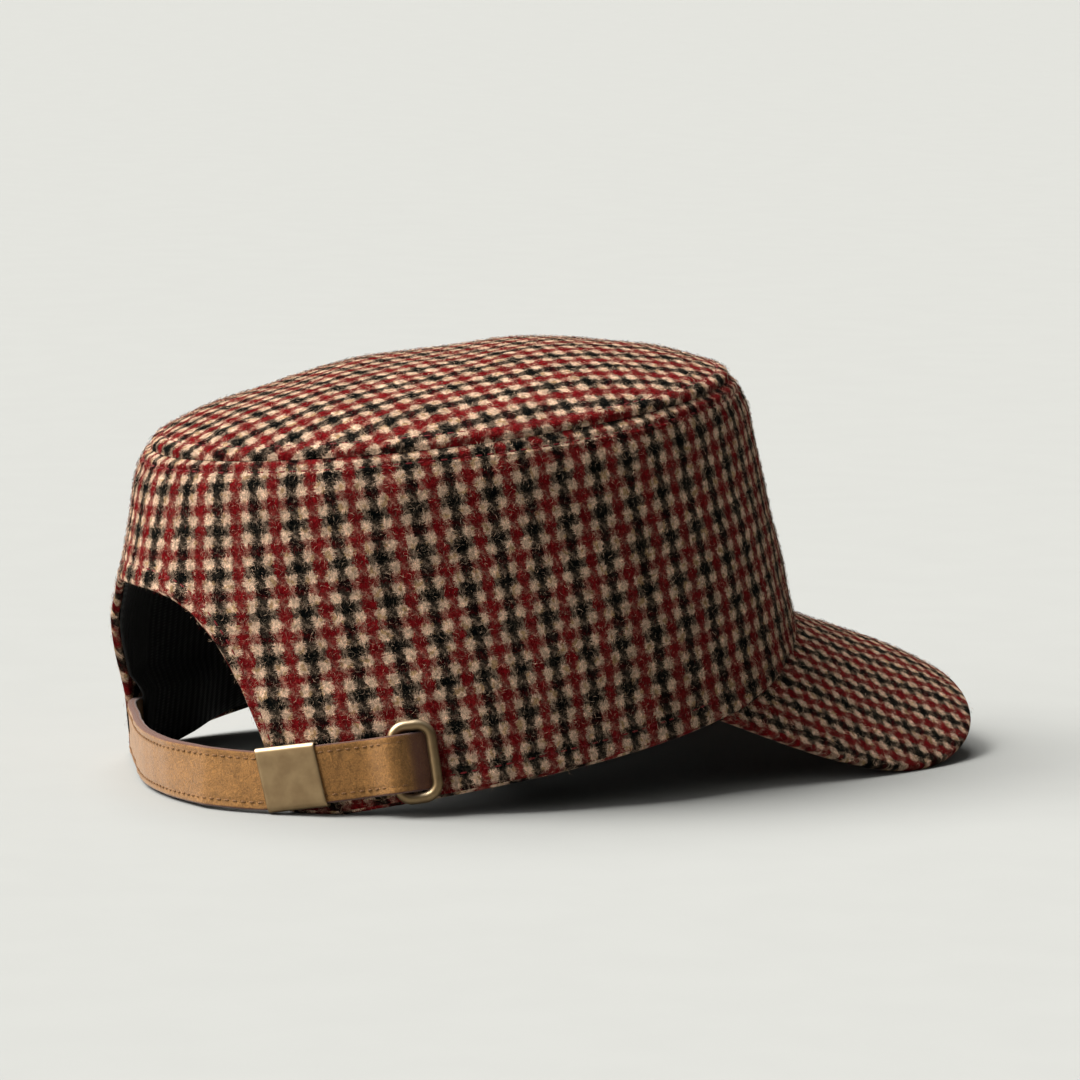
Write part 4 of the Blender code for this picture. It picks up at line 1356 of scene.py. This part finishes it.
def full_plan(side, share):
    """Plan point of the dressed peak, a little fuller than the solid one except by the wearer's right."""
    inset = -PEAK_FULLNESS * (1 - smooth_step(side, *PEAK_FULLNESS_END))
    return peak_plan(side, share, front_height(), inset)


def plan_length(side, start, end):
    """Level distance between two shares of the way out over the dressed peak."""
    return np.hypot(*[a - b for a, b in zip(full_plan(side, end), full_plan(side, start))])


def peak_surface(side, share):
    """Point and outward direction of the finished upper face of the peak."""
    x, y = full_plan(side, share)
    point = stacked(x, y, front_height() + peak_sheet(x, y))
    out = peak_normal(x, y)
    soft = unevenness(point, PEAK_WAVES) * smooth_step(plan_length(side, share, 1.0), *PEAK_RIM_CALM)
    return point + out * soft[..., None], out


def peak_arc(x):
    """Distance from the middle of the peak along its bend."""
    return x * (1 + x**2 / (6 * PEAK_BEND_RADIUS**2))


class CAP_OT_tweed_peak(bpy.types.Operator):
    """Make the tweed-covered peak"""

    bl_idname = "cap.tweed_peak"
    bl_label = "Tweed peak"

    def execute(self, context):
        cloth = context.scene.cap_cloth
        half = PEAK_THICKNESS / 2
        even = np.linspace(-1, 1, PEAK_COLUMNS)
        sides = np.sin(even * math.pi / 2) * PEAK_SIDE_CROWDING + even * (1 - PEAK_SIDE_CROWDING)
        stop = 1 - half / plan_length(sides, 0.0, 1.0)
        rows = [peak_surface(sides, stop * share)[0] for share in np.linspace(0, 1, PEAK_ROWS)]
        x, y = full_plan(sides, stop)
        out = peak_normal(x, y)
        edge_x, edge_y = full_plan(sides, 1.0)
        ahead = unit(stacked(edge_x - x, edge_y - y, 0.0))
        ahead = unit(ahead - out * dot(ahead, out))
        centre = rows[-1] - out * half
        for turn in half_round(PEAK_EDGE_ROWS):
            rows.append(centre + out * half * math.cos(turn) + ahead * half * math.sin(turn))
        for share in np.linspace(1, 0, PEAK_LOWER_ROWS):
            x, y = full_plan(sides, stop * share)
            point = stacked(x, y, front_height() + peak_sheet(x, y))
            rows.append(point - peak_normal(x, y) * PEAK_THICKNESS)
        grid = np.array(rows)
        count, columns = grid.shape[:2]
        quads = grid_faces(count, columns, True, False)[:, ::-1]
        first_end = np.arange(count) * columns
        ends = np.array([first_end, (first_end + columns - 1)[::-1]])
        mesh = faced_mesh("tweed_peak", grid, quads, ends)
        forward = -grid[..., 1] / math.cos(PEAK_PITCH)
        along = run_along(grid)
        last = PEAK_ROWS - 1
        turned = forward[last] + along - along[last]
        forward = np.where(np.arange(count)[:, None] > last, turned, forward)
        woven = np.stack([peak_arc(grid[..., 0]), forward], axis=-1) / (cloth.yarn_pitch * PEAK_WEAVE_SCALE)
        woven = reversed_corners(np.concatenate([woven, woven[-1:]]))
        add_uv(mesh, "weave", np.concatenate([woven, np.zeros((2 * count, 2))]))
        add_piece("tweed_peak", mesh, tweed_finish(cloth, "check_tweed_peak"), "check_tweed", "peak")
        return {"FINISHED"}


def strap_room(angle, height):
    """How far the lining stands in where the strap's end is sewn between it and the band."""
    near = LINING_ROOM_START * ARCH_HALF_ANGLE
    sewn = STRAP_SEWN_LENGTH * angle_per_metre(-ARCH_HALF_ANGLE)
    far = ARCH_HALF_ANGLE + sewn + LINING_FADE_ANGLE / 2
    strap_top = STRAP_BACK_LIFT + STRAP_WIDTH + LINING_FADE_HEIGHT / 4
    beyond = np.maximum(near + angle, -angle - far)
    sideways = 1 - smooth_step(beyond, 0.0, LINING_FADE_ANGLE)
    upward = 1 - smooth_step(height - strap_top, 0.0, LINING_FADE_HEIGHT)
    return (STRAP_THICKNESS + 3 * FIT_GAP) * sideways * upward


class CAP_OT_black_lining(bpy.types.Operator):
    """Make the black lining"""

    bl_idname = "cap.black_lining"
    bl_label = "Black lining"

    def execute(self, context):
        cloth = context.scene.cap_cloth
        angles = edge_angles(LINING_COLUMNS)
        faces = []
        for layer in (0.0, LINING_THICKNESS):
            inset = WALL_THICKNESS + FIT_GAP + layer
            edge = lower_edge(angles, inset, LINING_SETBACK)
            top = seam_height(angles, inset) - FIT_GAP - SHOULDER_DEPTH
            heights = np.array([edge + (top - edge) * share for share in np.linspace(0, 1, LINING_ROWS)])
            wide = np.broadcast_to(angles, heights.shape)
            side = band_point(wide, heights, inset + strap_room(wide, heights) - side_flare(wide, heights))
            wide, ring = np.meshgrid(angles, np.linspace(*LINING_ROOF_RINGS))
            roof = dome_point(wide, ring, inset, TOP_THICKNESS + FIT_GAP + layer)
            faces.append(np.concatenate([side, roof]))
        grid = np.concatenate([faces[0][::-1], faces[1]])
        mesh = domed_mesh("black_lining_shell", grid)
        ribs = np.interp(angles, *round_table()) / LINING_RIB_PITCH
        down = run_along(grid) / LINING_RIB_PITCH
        down = np.concatenate([down, down[:, :1]], axis=1)
        ribs = np.broadcast_to(np.append(ribs, -ribs[0]), down.shape)
        ribbed = reversed_corners(np.stack([ribs, down], axis=-1))
        add_uv(mesh, "ribs", np.concatenate([ribbed, np.zeros((6 * len(angles), 2))]))
        add_piece("black_lining_shell", mesh, lining_finish(cloth), "black_lining", "lining")
        return {"FINISHED"}


def strap_section():
    """Outline of the strap across its width: two bonded layers with soft edges."""
    half_width, half_thick = STRAP_WIDTH / 2, STRAP_THICKNESS / 2
    soft, split = STRAP_SOFT_EDGE, STRAP_SPLIT
    face = np.linspace(half_width - soft, -half_width + soft, STRAP_FACE_POINTS)
    stitch = half_width - STRAP_STITCH_INSET
    grooves = bell(face, stitch, STRAP_GROOVE_REACH) + bell(face, -stitch, STRAP_GROOVE_REACH)
    outer = np.stack([face, half_thick - STRAP_GROOVE_DEPTH * grooves], axis=-1)
    left = []
    for turn in np.linspace(0, math.pi / 2, 4)[1:]:
        x = -half_width + soft - soft * math.sin(turn)
        left.append((x, half_thick - soft + soft * math.cos(turn)))
    left += [(-half_width, split), (-half_width + split, 0.0), (-half_width, -split)]
    left += [(x, -y) for x, y in left[2::-1]]
    inner = np.stack([face[::-3], np.full(len(face[::-3]), -half_thick)], axis=-1)
    right = [(-x, -y) for x, y in left]
    section = np.concatenate([outer, np.array(left), inner, np.array(right)])
    keep = np.ones(len(section), dtype=bool)
    keep[1:] = np.linalg.norm(np.diff(section, axis=0), axis=-1) > SAME_POINT
    return section[keep]


class CAP_OT_suede_strap(bpy.types.Operator):
    """Make the suede strap with its stitches"""

    bl_idname = "cap.suede_strap"
    bl_label = "Suede strap"

    def execute(self, context):
        strap = context.scene.cap_strap
        line, across, out, lengths = strap_frames()
        section = strap_section()
        half_width = STRAP_WIDTH / 2
        uneven = unevenness(line, STRAP_WAVES)[:, None, None]
        grid = (
            line[:, None]
            + across[:, None] * section[None, :, :1]
            + out[:, None] * (section[None, :, 1:] + uneven)
        )
        rows, columns = grid.shape[:2]
        quads = grid_faces(rows, columns, False, True)
        column = np.arange(columns)
        cut_ends = np.array([column[::-1], column + (rows - 1) * columns])
        mesh = faced_mesh("suede_strap", grid, quads, cut_ends)
        edge_start, edge_end = (half_width - inset for inset in STRAP_CUT_EDGE)
        at_edge = smooth_step(np.abs(section[:, 0]), edge_start, edge_end)
        add_values(mesh, "edge", np.broadcast_to(at_edge, (rows, columns)))
        bar = distance_near(route_point(rear_bar()[0], RING_WIRE))
        # Share of wear and painted shade along the strap, rising past the loop's rear bar.
        worn_and_shaded = smooth_step(lengths - bar, *STRAP_WEAR_AND_SHADE_REACH)
        add_values(mesh, "wear_and_shade", np.broadcast_to(worn_and_shaded[:, None], (rows, columns)))
        add_piece("suede_strap", mesh, suede_finish(strap), "tan_suede", "strap")
        starts, ends, outs = [], [], []
        offset = half_width - strap.stitch_inset
        places = np.arange(STRAP_STITCH_START, bar + STRAP_STITCH_PAST_BAR, strap.stitch_pitch)
        for side in (-1, 1):
            for share, store in ((0.0, starts), (STRAP_STITCH_SHARE, ends)):
                point, wide, up = strap_frame_at(places + strap.stitch_pitch * share)
                lift = STRAP_THICKNESS / 2 - STRAP_STITCH_SINK
                store.append(point + wide * offset * side + up * lift)
            outs.append(up)
        mesh = stitch_mesh("strap_stitches", starts, ends, outs, STRAP_STITCH_RADIUS, STRAP_STITCH_RISE)
        add_piece("strap_stitches", mesh, thread_finish("strap_thread", strap.thread), "tan_suede")
        return {"FINISHED"}


def stitch_mesh(name, starts, ends, outs, radius, rise):
    """Short stitches of thread that dip into the cloth at both ends, from lists of rows of them."""
    starts, ends, outs = (np.concatenate(rows) for rows in (starts, ends, outs))
    rings, sides = STITCH_RINGS, STITCH_SIDES
    shares = np.linspace(0, 1, rings + 2)[1:-1]
    along = unit(ends - starts)
    outs = unit(outs - along * dot(outs, along))
    wide = np.cross(along, outs)
    parts = [starts - outs * radius]
    for share in shares:
        lift = 4 * share * (1 - share) - STITCH_END_DIP
        centre = starts + (ends - starts) * share + outs * rise * lift
        swell = (1 - STITCH_END_THICKNESS) * math.sin(math.pi * share)
        thick = radius * (STITCH_END_THICKNESS + swell)
        for side in range(sides):
            turn = 2 * math.pi * side / sides
            parts.append(centre + wide * thick * math.cos(turn) + outs * thick * math.sin(turn))
    parts.append(ends - outs * radius)
    points = np.stack(parts, axis=1)
    faces, uvs = [], []
    last = 1 + (rings - 1) * sides
    tip = last + sides
    for side in range(sides):
        after = (side + 1) % sides
        low, middle, high = side / sides, (side + 0.5) / sides, (side + 1) / sides
        faces.append([0, 1 + after, 1 + side])
        uvs.append([(0, middle), (shares[0], high), (shares[0], low)])
        faces.append([last + side, last + after, tip])
        uvs.append([(shares[-1], low), (shares[-1], high), (1, middle)])
        for ring in range(rings - 1):
            a, b = 1 + ring * sides, 1 + (ring + 1) * sides
            near, far = shares[ring], shares[ring + 1]
            faces.append([a + side, a + after, b + after, b + side])
            uvs.append([(near, low), (near, high), (far, high), (far, low)])
    mesh = repeated_mesh(name, points, faces)
    add_uv(mesh, "thread", np.tile(np.concatenate(uvs), (len(points), 1)))
    return mesh


def repeated_mesh(name, points, faces):
    """Mesh of many copies of one small shape, from the points of each copy."""
    count, each = points.shape[:2]
    corners = (np.concatenate(faces)[None] + each * np.arange(count)[:, None]).ravel()
    return new_mesh(name, points.reshape(-1, 3), corners, np.tile([len(face) for face in faces], count))


class CAP_OT_slide_plate(bpy.types.Operator):
    """Make the folded brass plate round the strap"""

    bl_idname = "cap.slide_plate"
    bl_label = "Brass plate"

    def execute(self, context):
        middle = distance_near(route_point(BUCKLE_ANGLE, STRAP_THICKNESS))
        point, across, out = strap_frame_at(np.float64(middle))
        along = np.cross(across, out)
        lip = BUCKLE_SHEET / 2
        end = BUCKLE_LENGTH / 2 - lip
        flat = BUCKLE_LENGTH / 2 - BUCKLE_RIM
        places = np.concatenate([[-end], np.linspace(-flat, flat, BUCKLE_ROWS), [end]])
        turns = half_round(BUCKLE_ROLL_ROWS)
        rows = [(place, 1.0) for place in places]
        rows += [(end + lip * math.sin(turn), 0.5 + 0.5 * math.cos(turn)) for turn in turns]
        rows += [(place, 0.0) for place in places[::-1]]
        rows += [(-end - lip * math.sin(turn), 0.5 - 0.5 * math.cos(turn)) for turn in turns]
        grid = []
        for place, share in rows:
            sheet = BUCKLE_SHEET * share
            wide = STRAP_WIDTH / 2 + FIT_GAP + sheet
            thick = STRAP_THICKNESS / 2 + FIT_GAP + sheet
            corner = BUCKLE_CORNER_RADIUS + sheet
            loop = rounded_rectangle(wide, thick, corner, BUCKLE_CORNER_POINTS, (0, 2))
            ahead = place - PLATE_SKEW * loop[:, :1]
            grid.append(point + along * ahead + across * loop[:, :1] + out * loop[:, 1:])
        mesh = closed_mesh("slide_plate", np.array(grid), flipped=True)
        finish = brass_finish(context.scene.cap_metal)
        add_piece("slide_plate", mesh, finish, "antique_brass", "slide_buckle")
        return {"FINISHED"}


def rounded_rectangle(half_wide, half_high, radius, corner_points, filled_sides):
    """Points round a rectangle with round corners, and along those of its sides that are filled."""
    corners = []
    for quarter, (x_side, y_side) in enumerate(((1, 1), (-1, 1), (-1, -1), (1, -1))):
        turns = np.linspace(0, math.pi / 2, corner_points) + quarter * math.pi / 2
        x = x_side * (half_wide - radius) + radius * np.cos(turns)
        y = y_side * (half_high - radius) + radius * np.sin(turns)
        corners.append(np.stack([x, y], axis=-1))
    points = []
    for side, corner in enumerate(corners):
        points.append(corner)
        if side in filled_sides:
            start, end = corner[-1], corners[(side + 1) % 4][0]
            points.append(start + (end - start) * np.linspace(0, 1, RECTANGLE_SIDE_POINTS + 2)[1:-1, None])
    return np.concatenate(points)


class CAP_OT_tuck_loop(bpy.types.Operator):
    """Make the brass loop that the strap is tucked through"""

    bl_idname = "cap.tuck_loop"
    bl_label = "Brass loop"

    def execute(self, context):
        along, up, out = route_frame(RING_ANGLE)
        centre = route_point(RING_ANGLE, 0.0) + out * (FIT_GAP + RING_WIRE / 2)
        half_height = (STRAP_WIDTH + RING_WIRE) / 2 + RING_SIDE_ROOM
        half_length = ring_bar_distance()
        corner = RING_CORNER_RADIUS
        path = rounded_rectangle(half_length, half_height, corner, RING_CORNER_POINTS, range(4))
        forward = unit(np.roll(path, -1, axis=0) - np.roll(path, 1, axis=0))
        side = np.stack([forward[:, 1], -forward[:, 0]], axis=-1)
        radius = RING_WIRE / 2 * RING_WIRE_FULLNESS
        grid = []
        for turn in 2 * math.pi * np.arange(RING_WIRE_SIDES) / RING_WIRE_SIDES:
            plan = path + side * radius * math.cos(turn)
            lift = radius * math.sin(turn)
            grid.append(centre + along * plan[:, :1] + up * plan[:, 1:] + out * lift)
        mesh = closed_mesh("tuck_loop", np.array(grid))
        finish = brass_finish(context.scene.cap_metal)
        add_piece("tuck_loop", mesh, finish, "antique_brass", "tuck_ring")
        return {"FINISHED"}


def even_angles(line_at, pitch, reach):
    """Angles that are a pitch apart along a line round the cap, as far as a reach to both sides."""
    fine = np.linspace(-reach, reach, STITCH_LINE_POINTS)
    lengths = run_along(line_at(fine)[0])
    count = max(2, int(lengths[-1] / pitch))
    return np.interp(np.arange(count) * lengths[-1] / count, lengths, fine)


class CAP_OT_topstitching(bpy.types.Operator):
    """Sew the topstitching beside the crown seam and along the lower edge"""

    bl_idname = "cap.topstitching"
    bl_label = "Topstitching"

    def execute(self, context):
        cloth = context.scene.cap_cloth

        def on_band(angle):
            return band_surface(angle, seam_height(angle) - BAND_STITCH_DROP)

        def on_top(angle):
            return dome_surface(angle, ring_at(np.full(np.shape(angle), TOPSTITCH_DROP)))

        def on_hem(angle):
            return band_surface(angle, lower_edge(angle) + HEM_STITCH_RISE)

        starts, ends, outs = [], [], []
        for line_at, reach in ((on_band, math.pi), (on_top, math.pi), (on_hem, PEAK_END_ANGLE)):
            angles = even_angles(line_at, cloth.stitch_pitch, reach)
            gap = np.append(np.diff(angles), angles[-1] - angles[-2])
            point, out = line_at(angles)
            starts.append(point)
            outs.append(out)
            ends.append(line_at(angles + gap * STITCH_SHARE)[0])
        mesh = stitch_mesh("cap_topstitching", starts, ends, outs, STITCH_RADIUS, STITCH_RISE)
        add_piece("cap_topstitching", mesh, thread_finish("cap_thread", cloth.thread), "check_tweed")
        return {"FINISHED"}


def hair_mesh(name, roots, outs, lies, colours, cloth, picks):
    """Closed, curled hairs that lie on the cloth with their ends lifted."""
    count = len(roots)
    length = cloth.hair_length * picks.uniform(*HAIR_LENGTHS, count)[:, None]
    lies = unit(lies - outs * dot(lies, outs))
    wide = np.cross(outs, lies)
    curl = length * picks.uniform(*HAIR_CURL, (count, 1))
    tip_curl = length * picks.uniform(*HAIR_TIP_CURL, (count, 1))
    lift = length * picks.uniform(*HAIR_LIFT, (count, 1)) ** HAIR_LIFT_POWER
    tip_lift = lift * picks.uniform(*HAIR_TIP_LIFT, (count, 1))
    base = roots + outs * HAIR_STAND_OFF
    middle = base + lies * length * 0.5 + wide * curl * HAIR_BEND + outs * lift
    tip = base + lies * length * HAIR_REACH + wide * tip_curl + outs * tip_lift
    radius = cloth.hair_width / 2 * picks.uniform(*HAIR_WIDTHS, (count, 1))
    parts = [base - outs * HAIR_ROOT_DEPTH]
    for turn in 2 * math.pi * np.arange(3) / 3:
        parts.append(middle + wide * radius * math.cos(turn) + outs * radius * math.sin(turn))
    parts.append(tip)
    points = np.stack(parts, axis=1)
    points[..., 2] = np.maximum(points[..., 2], cloth.hair_width)
    faces = [[0, 2, 1], [0, 3, 2], [0, 1, 3], [1, 2, 4], [2, 3, 4], [3, 1, 4]]
    mesh = repeated_mesh(name, points, faces)
    spots = np.array([(0, 0.5), (0.5, 0.2), (0.5, 0.5), (0.5, 0.8), (1, 0.5)])
    spots = spots[np.concatenate(faces)] * BAKE_FILL + BAKE_MARGIN
    cells = math.ceil(math.sqrt(count))
    index = np.arange(count)
    origin = np.stack([index % cells, index // cells], axis=-1)
    add_uv(mesh, "OFBake", (origin[:, None] + spots[None]) / cells)
    layer = mesh.attributes.new("hair_colour", "FLOAT_COLOR", "POINT")
    tint = np.concatenate([colours, np.ones((count, 1))], axis=1)
    layer.data.foreach_set("color", np.repeat(tint, len(parts), axis=0).astype(np.float32).ravel())
    return mesh


def hair_colours(woven, cloth, picks):
    """Colours of hairs: mostly of the yarn underneath, with some pale ones over it."""
    count = len(woven)
    yarns = np.array([cloth.cream[:3], cloth.red[:3], cloth.cream[:3], cloth.black[:3]])
    under = weave_colour(woven[:, 0], woven[:, 1], yarns)
    pale = np.array(cloth.hair[:3]) * picks.uniform(*PALE_HAIR_SHADES, (count, 1))
    is_pale = picks.random((count, 1)) < PALE_HAIR_SHARE
    shaded = under * picks.uniform(*HAIR_SHADES, (count, 1))
    return np.clip(np.where(is_pale, pale, shaded), 0.0, 1.0)


def band_hairs(picks, count, cloth, near):
    """Roots, outward and lying directions and weave places of hairs on the near or far part of the band."""
    table_angles, lengths = round_table()
    angles = np.interp(picks.uniform(lengths[0], lengths[-1], count * 4), lengths, table_angles)
    heights = picks.uniform(0.0, BAND_HAIR_REACH, count * 4)
    inside = heights > lower_edge(angles) + BAND_HAIR_MARGIN
    inside &= heights < seam_height(angles) - BAND_HAIR_MARGIN
    is_near = (angles > NEAR_HAIR_ANGLES[0]) & (angles < NEAR_HAIR_ANGLES[1])
    inside &= is_near if near else ~is_near
    angles, heights = angles[inside][:count], heights[inside][:count]
    roots, outs = band_surface(angles, heights)
    around, up, _ = band_frame(angles, heights)
    turn = picks.normal(0.0, BAND_HAIR_SPREAD, (len(angles), 1))
    turn = turn + math.pi * picks.integers(0, 2, (len(angles), 1))
    woven = np.stack(band_weave(angles, seam_height(angles) - heights, cloth), axis=-1)
    return roots, outs, up * np.cos(turn) + around * np.sin(turn), woven


def top_hairs(picks, count, cloth):
    """Roots, outward and lying directions and weave places of hairs on the top panel."""
    angles = picks.uniform(-math.pi, math.pi, count)
    rings = np.sqrt(picks.uniform(*TOP_HAIR_AREA, count))
    roots, outs = dome_surface(angles, rings)
    turn = picks.uniform(0, 2 * math.pi, count)
    lies = stacked(np.cos(turn), np.sin(turn), 0.0)
    return roots, outs, lies, top_weave(angles, rim_distance(rings), cloth)


def peak_hairs(picks, count, cloth):
    """Roots, outward and lying directions and weave places of hairs on the peak."""
    sides = picks.uniform(*PEAK_HAIR_SIDES, count)
    shares = picks.uniform(*PEAK_HAIR_SHARES, count)
    roots, outs = peak_surface(sides, shares)
    turn = picks.uniform(0, 2 * math.pi, count)
    lies = stacked(np.cos(turn), np.sin(turn), 0.0)
    woven = np.stack([peak_arc(roots[:, 0]), -roots[:, 1] / math.cos(PEAK_PITCH)], axis=-1)
    return roots, outs, lies, woven / (cloth.yarn_pitch * PEAK_WEAVE_SCALE)


class CAP_OT_wool_nap(bpy.types.Operator):
    """Brush up the loose hairs of the tweed"""

    bl_idname = "cap.wool_nap"
    bl_label = "Wool nap"

    def execute(self, context):
        cloth = context.scene.cap_cloth
        finish = hair_finish(cloth)
        fewer = 1.0
        for name, hairs_on, count, seed in (
            ("band_nap_back", functools.partial(band_hairs, near=True), 32000, 51),
            ("band_nap_front", functools.partial(band_hairs, near=False), 26000, 52),
            ("top_nap", top_hairs, 20000, 53),
            ("peak_nap", peak_hairs, 12000, 54),
        ):
            picks = np.random.default_rng(seed)
            roots, outs, lies, woven = hairs_on(picks, int(count * fewer), cloth)
            colours = hair_colours(woven, cloth, picks)
            mesh = hair_mesh(name, roots, outs, lies, colours, cloth, picks)
            add_piece(name, mesh, finish, "check_tweed")
        return {"FINISHED"}


def backdrop_world(stage):
    """Pale backdrop at the height of the floor's far edge, with a softer room above it."""
    world = bpy.data.worlds.new("studio_room")
    world.use_nodes = True
    nodes, links = world.node_tree.nodes, world.node_tree.links
    place = nodes.new("ShaderNodeTexCoord")
    split = nodes.new("ShaderNodeSeparateXYZ")
    ramp = nodes.new("ShaderNodeValToRGB")
    low, high = ramp.color_ramp.elements
    low.position, high.position = BACKDROP_EDGE
    low.color = rgba(BACKDROP_TINT, stage.horizon)
    high.color = rgba(BACKDROP_TINT, stage.room)
    links.new(place.outputs["Generated"], split.inputs[0])
    links.new(split.outputs["Z"], ramp.inputs["Fac"])
    links.new(ramp.outputs["Color"], nodes["Background"].inputs["Color"])
    return world


class CAP_OT_studio(bpy.types.Operator):
    """Set up the paper floor, the soft light and the camera"""

    bl_idname = "cap.studio"
    bl_label = "Studio"

    def execute(self, context):
        scene = context.scene
        stage = scene.cap_stage
        back, right, up = camera_directions()
        column = np.arange(FLOOR_COLUMNS)
        turns = 2 * math.pi * column / FLOOR_COLUMNS
        growth = stage.floor_radius / FLOOR_FIRST_RING
        radii = FLOOR_FIRST_RING * growth ** np.linspace(0, 1, FLOOR_RINGS)
        grid = np.array([stacked(r * np.cos(turns), r * np.sin(turns), 0.0) for r in radii])
        quads = grid_faces(FLOOR_RINGS, FLOOR_COLUMNS, False, True)
        mesh = faced_mesh("paper_floor", grid, quads, column[None, ::-1])
        mesh.materials.append(floor_finish(stage))
        floor = bpy.data.objects.new("paper_floor", mesh)
        scene.collection.objects.link(floor)
        level_back = Vector((back.x, back.y, 0.0)).normalized()
        for name, strength, (aside, rise, near) in (
            ("key_light", stage.key, KEY_DIRECTION),
            ("top_light", stage.top, TOP_DIRECTION),
            ("side_light", stage.side, SIDE_DIRECTION),
        ):
            lamp = bpy.data.lights.new(name, "SUN")
            lamp.energy = strength
            lamp.angle = stage.spread
            lamp.color = LIGHT_TINT
            light = bpy.data.objects.new(name, lamp)
            towards = right * aside + Vector((0.0, 0.0, rise)) + level_back * near
            light.rotation_euler = towards.to_track_quat("Z", "Y").to_euler()
            light.location = towards
            scene.collection.objects.link(light)
        scene.world = backdrop_world(stage)
        scene.view_settings.view_transform = "Standard"
        lens = bpy.data.cameras.new("photo_camera")
        lens.lens = CAMERA_LENS
        lens.sensor_width = CAMERA_SENSOR
        lens.clip_start = CAMERA_NEAREST
        lens.clip_end = CAMERA_FARTHEST
        camera = bpy.data.objects.new("photo_camera", lens)
        place = right * CAMERA_RIGHT + up * CAMERA_UP + back * CAMERA_DISTANCE
        place = place + Vector((0.0, SHIFT_Y, -CAMERA_LOWER))
        camera.matrix_world = Matrix.Translation(place) @ Matrix((right, up, back)).transposed().to_4x4()
        scene.collection.objects.link(camera)
        scene.camera = camera
        return {"FINISHED"}


def camera_directions():
    """Directions back towards the camera, to its right and up."""
    back = Vector((
        -math.sin(CAMERA_AZIMUTH) * math.cos(CAMERA_ELEVATION),
        math.cos(CAMERA_AZIMUTH) * math.cos(CAMERA_ELEVATION),
        math.sin(CAMERA_ELEVATION),
    ))
    right = Vector((-math.cos(CAMERA_AZIMUTH), -math.sin(CAMERA_AZIMUTH), 0.0))
    return back, right, back.cross(right)


OPERATORS = (
    CAP_OT_studio,
    CAP_OT_tweed_band,
    CAP_OT_tweed_top,
    CAP_OT_tweed_peak,
    CAP_OT_black_lining,
    CAP_OT_suede_strap,
    CAP_OT_slide_plate,
    CAP_OT_tuck_loop,
    CAP_OT_topstitching,
    CAP_OT_wool_nap,
)

SETTINGS = (
    ("cap_cloth", CapClothSettings),
    ("cap_strap", CapStrapSettings),
    ("cap_metal", CapMetalSettings),
    ("cap_stage", CapStageSettings),
)


class CAP_PT_workshop(bpy.types.Panel):
    """Lists the pieces of the cap and their settings"""

    bl_idname = "CAP_PT_workshop"
    bl_label = "Tweed pillbox cap"
    bl_space_type = "VIEW_3D"
    bl_region_type = "UI"
    bl_category = "Tweed Cap"

    def draw(self, context):
        layout = self.layout
        for operator in OPERATORS:
            layout.operator(operator.bl_idname, text=operator.bl_label)
        for name, group in SETTINGS:
            box = layout.box()
            settings = getattr(context.scene, name)
            for prop in group.__annotations__:
                box.prop(settings, prop)


def register():
    for name, group in SETTINGS:
        bpy.utils.register_class(group)
        setattr(bpy.types.Scene, name, bpy.props.PointerProperty(type=group))
    for operator in OPERATORS:
        bpy.utils.register_class(operator)
    bpy.utils.register_class(CAP_PT_workshop)


def unregister():
    bpy.utils.unregister_class(CAP_PT_workshop)
    for operator in reversed(OPERATORS):
        bpy.utils.unregister_class(operator)
    for name, group in reversed(SETTINGS):
        delattr(bpy.types.Scene, name)
        bpy.utils.unregister_class(group)


def main():
    register()
    bpy.ops.cap.studio()
    bpy.ops.cap.tweed_band()
    bpy.ops.cap.tweed_top()
    bpy.ops.cap.tweed_peak()
    bpy.ops.cap.black_lining()
    bpy.ops.cap.suede_strap()
    bpy.ops.cap.slide_plate()
    bpy.ops.cap.tuck_loop()
    bpy.ops.cap.topstitching()
    bpy.ops.cap.wool_nap()


if __name__ == "__main__":
    main()
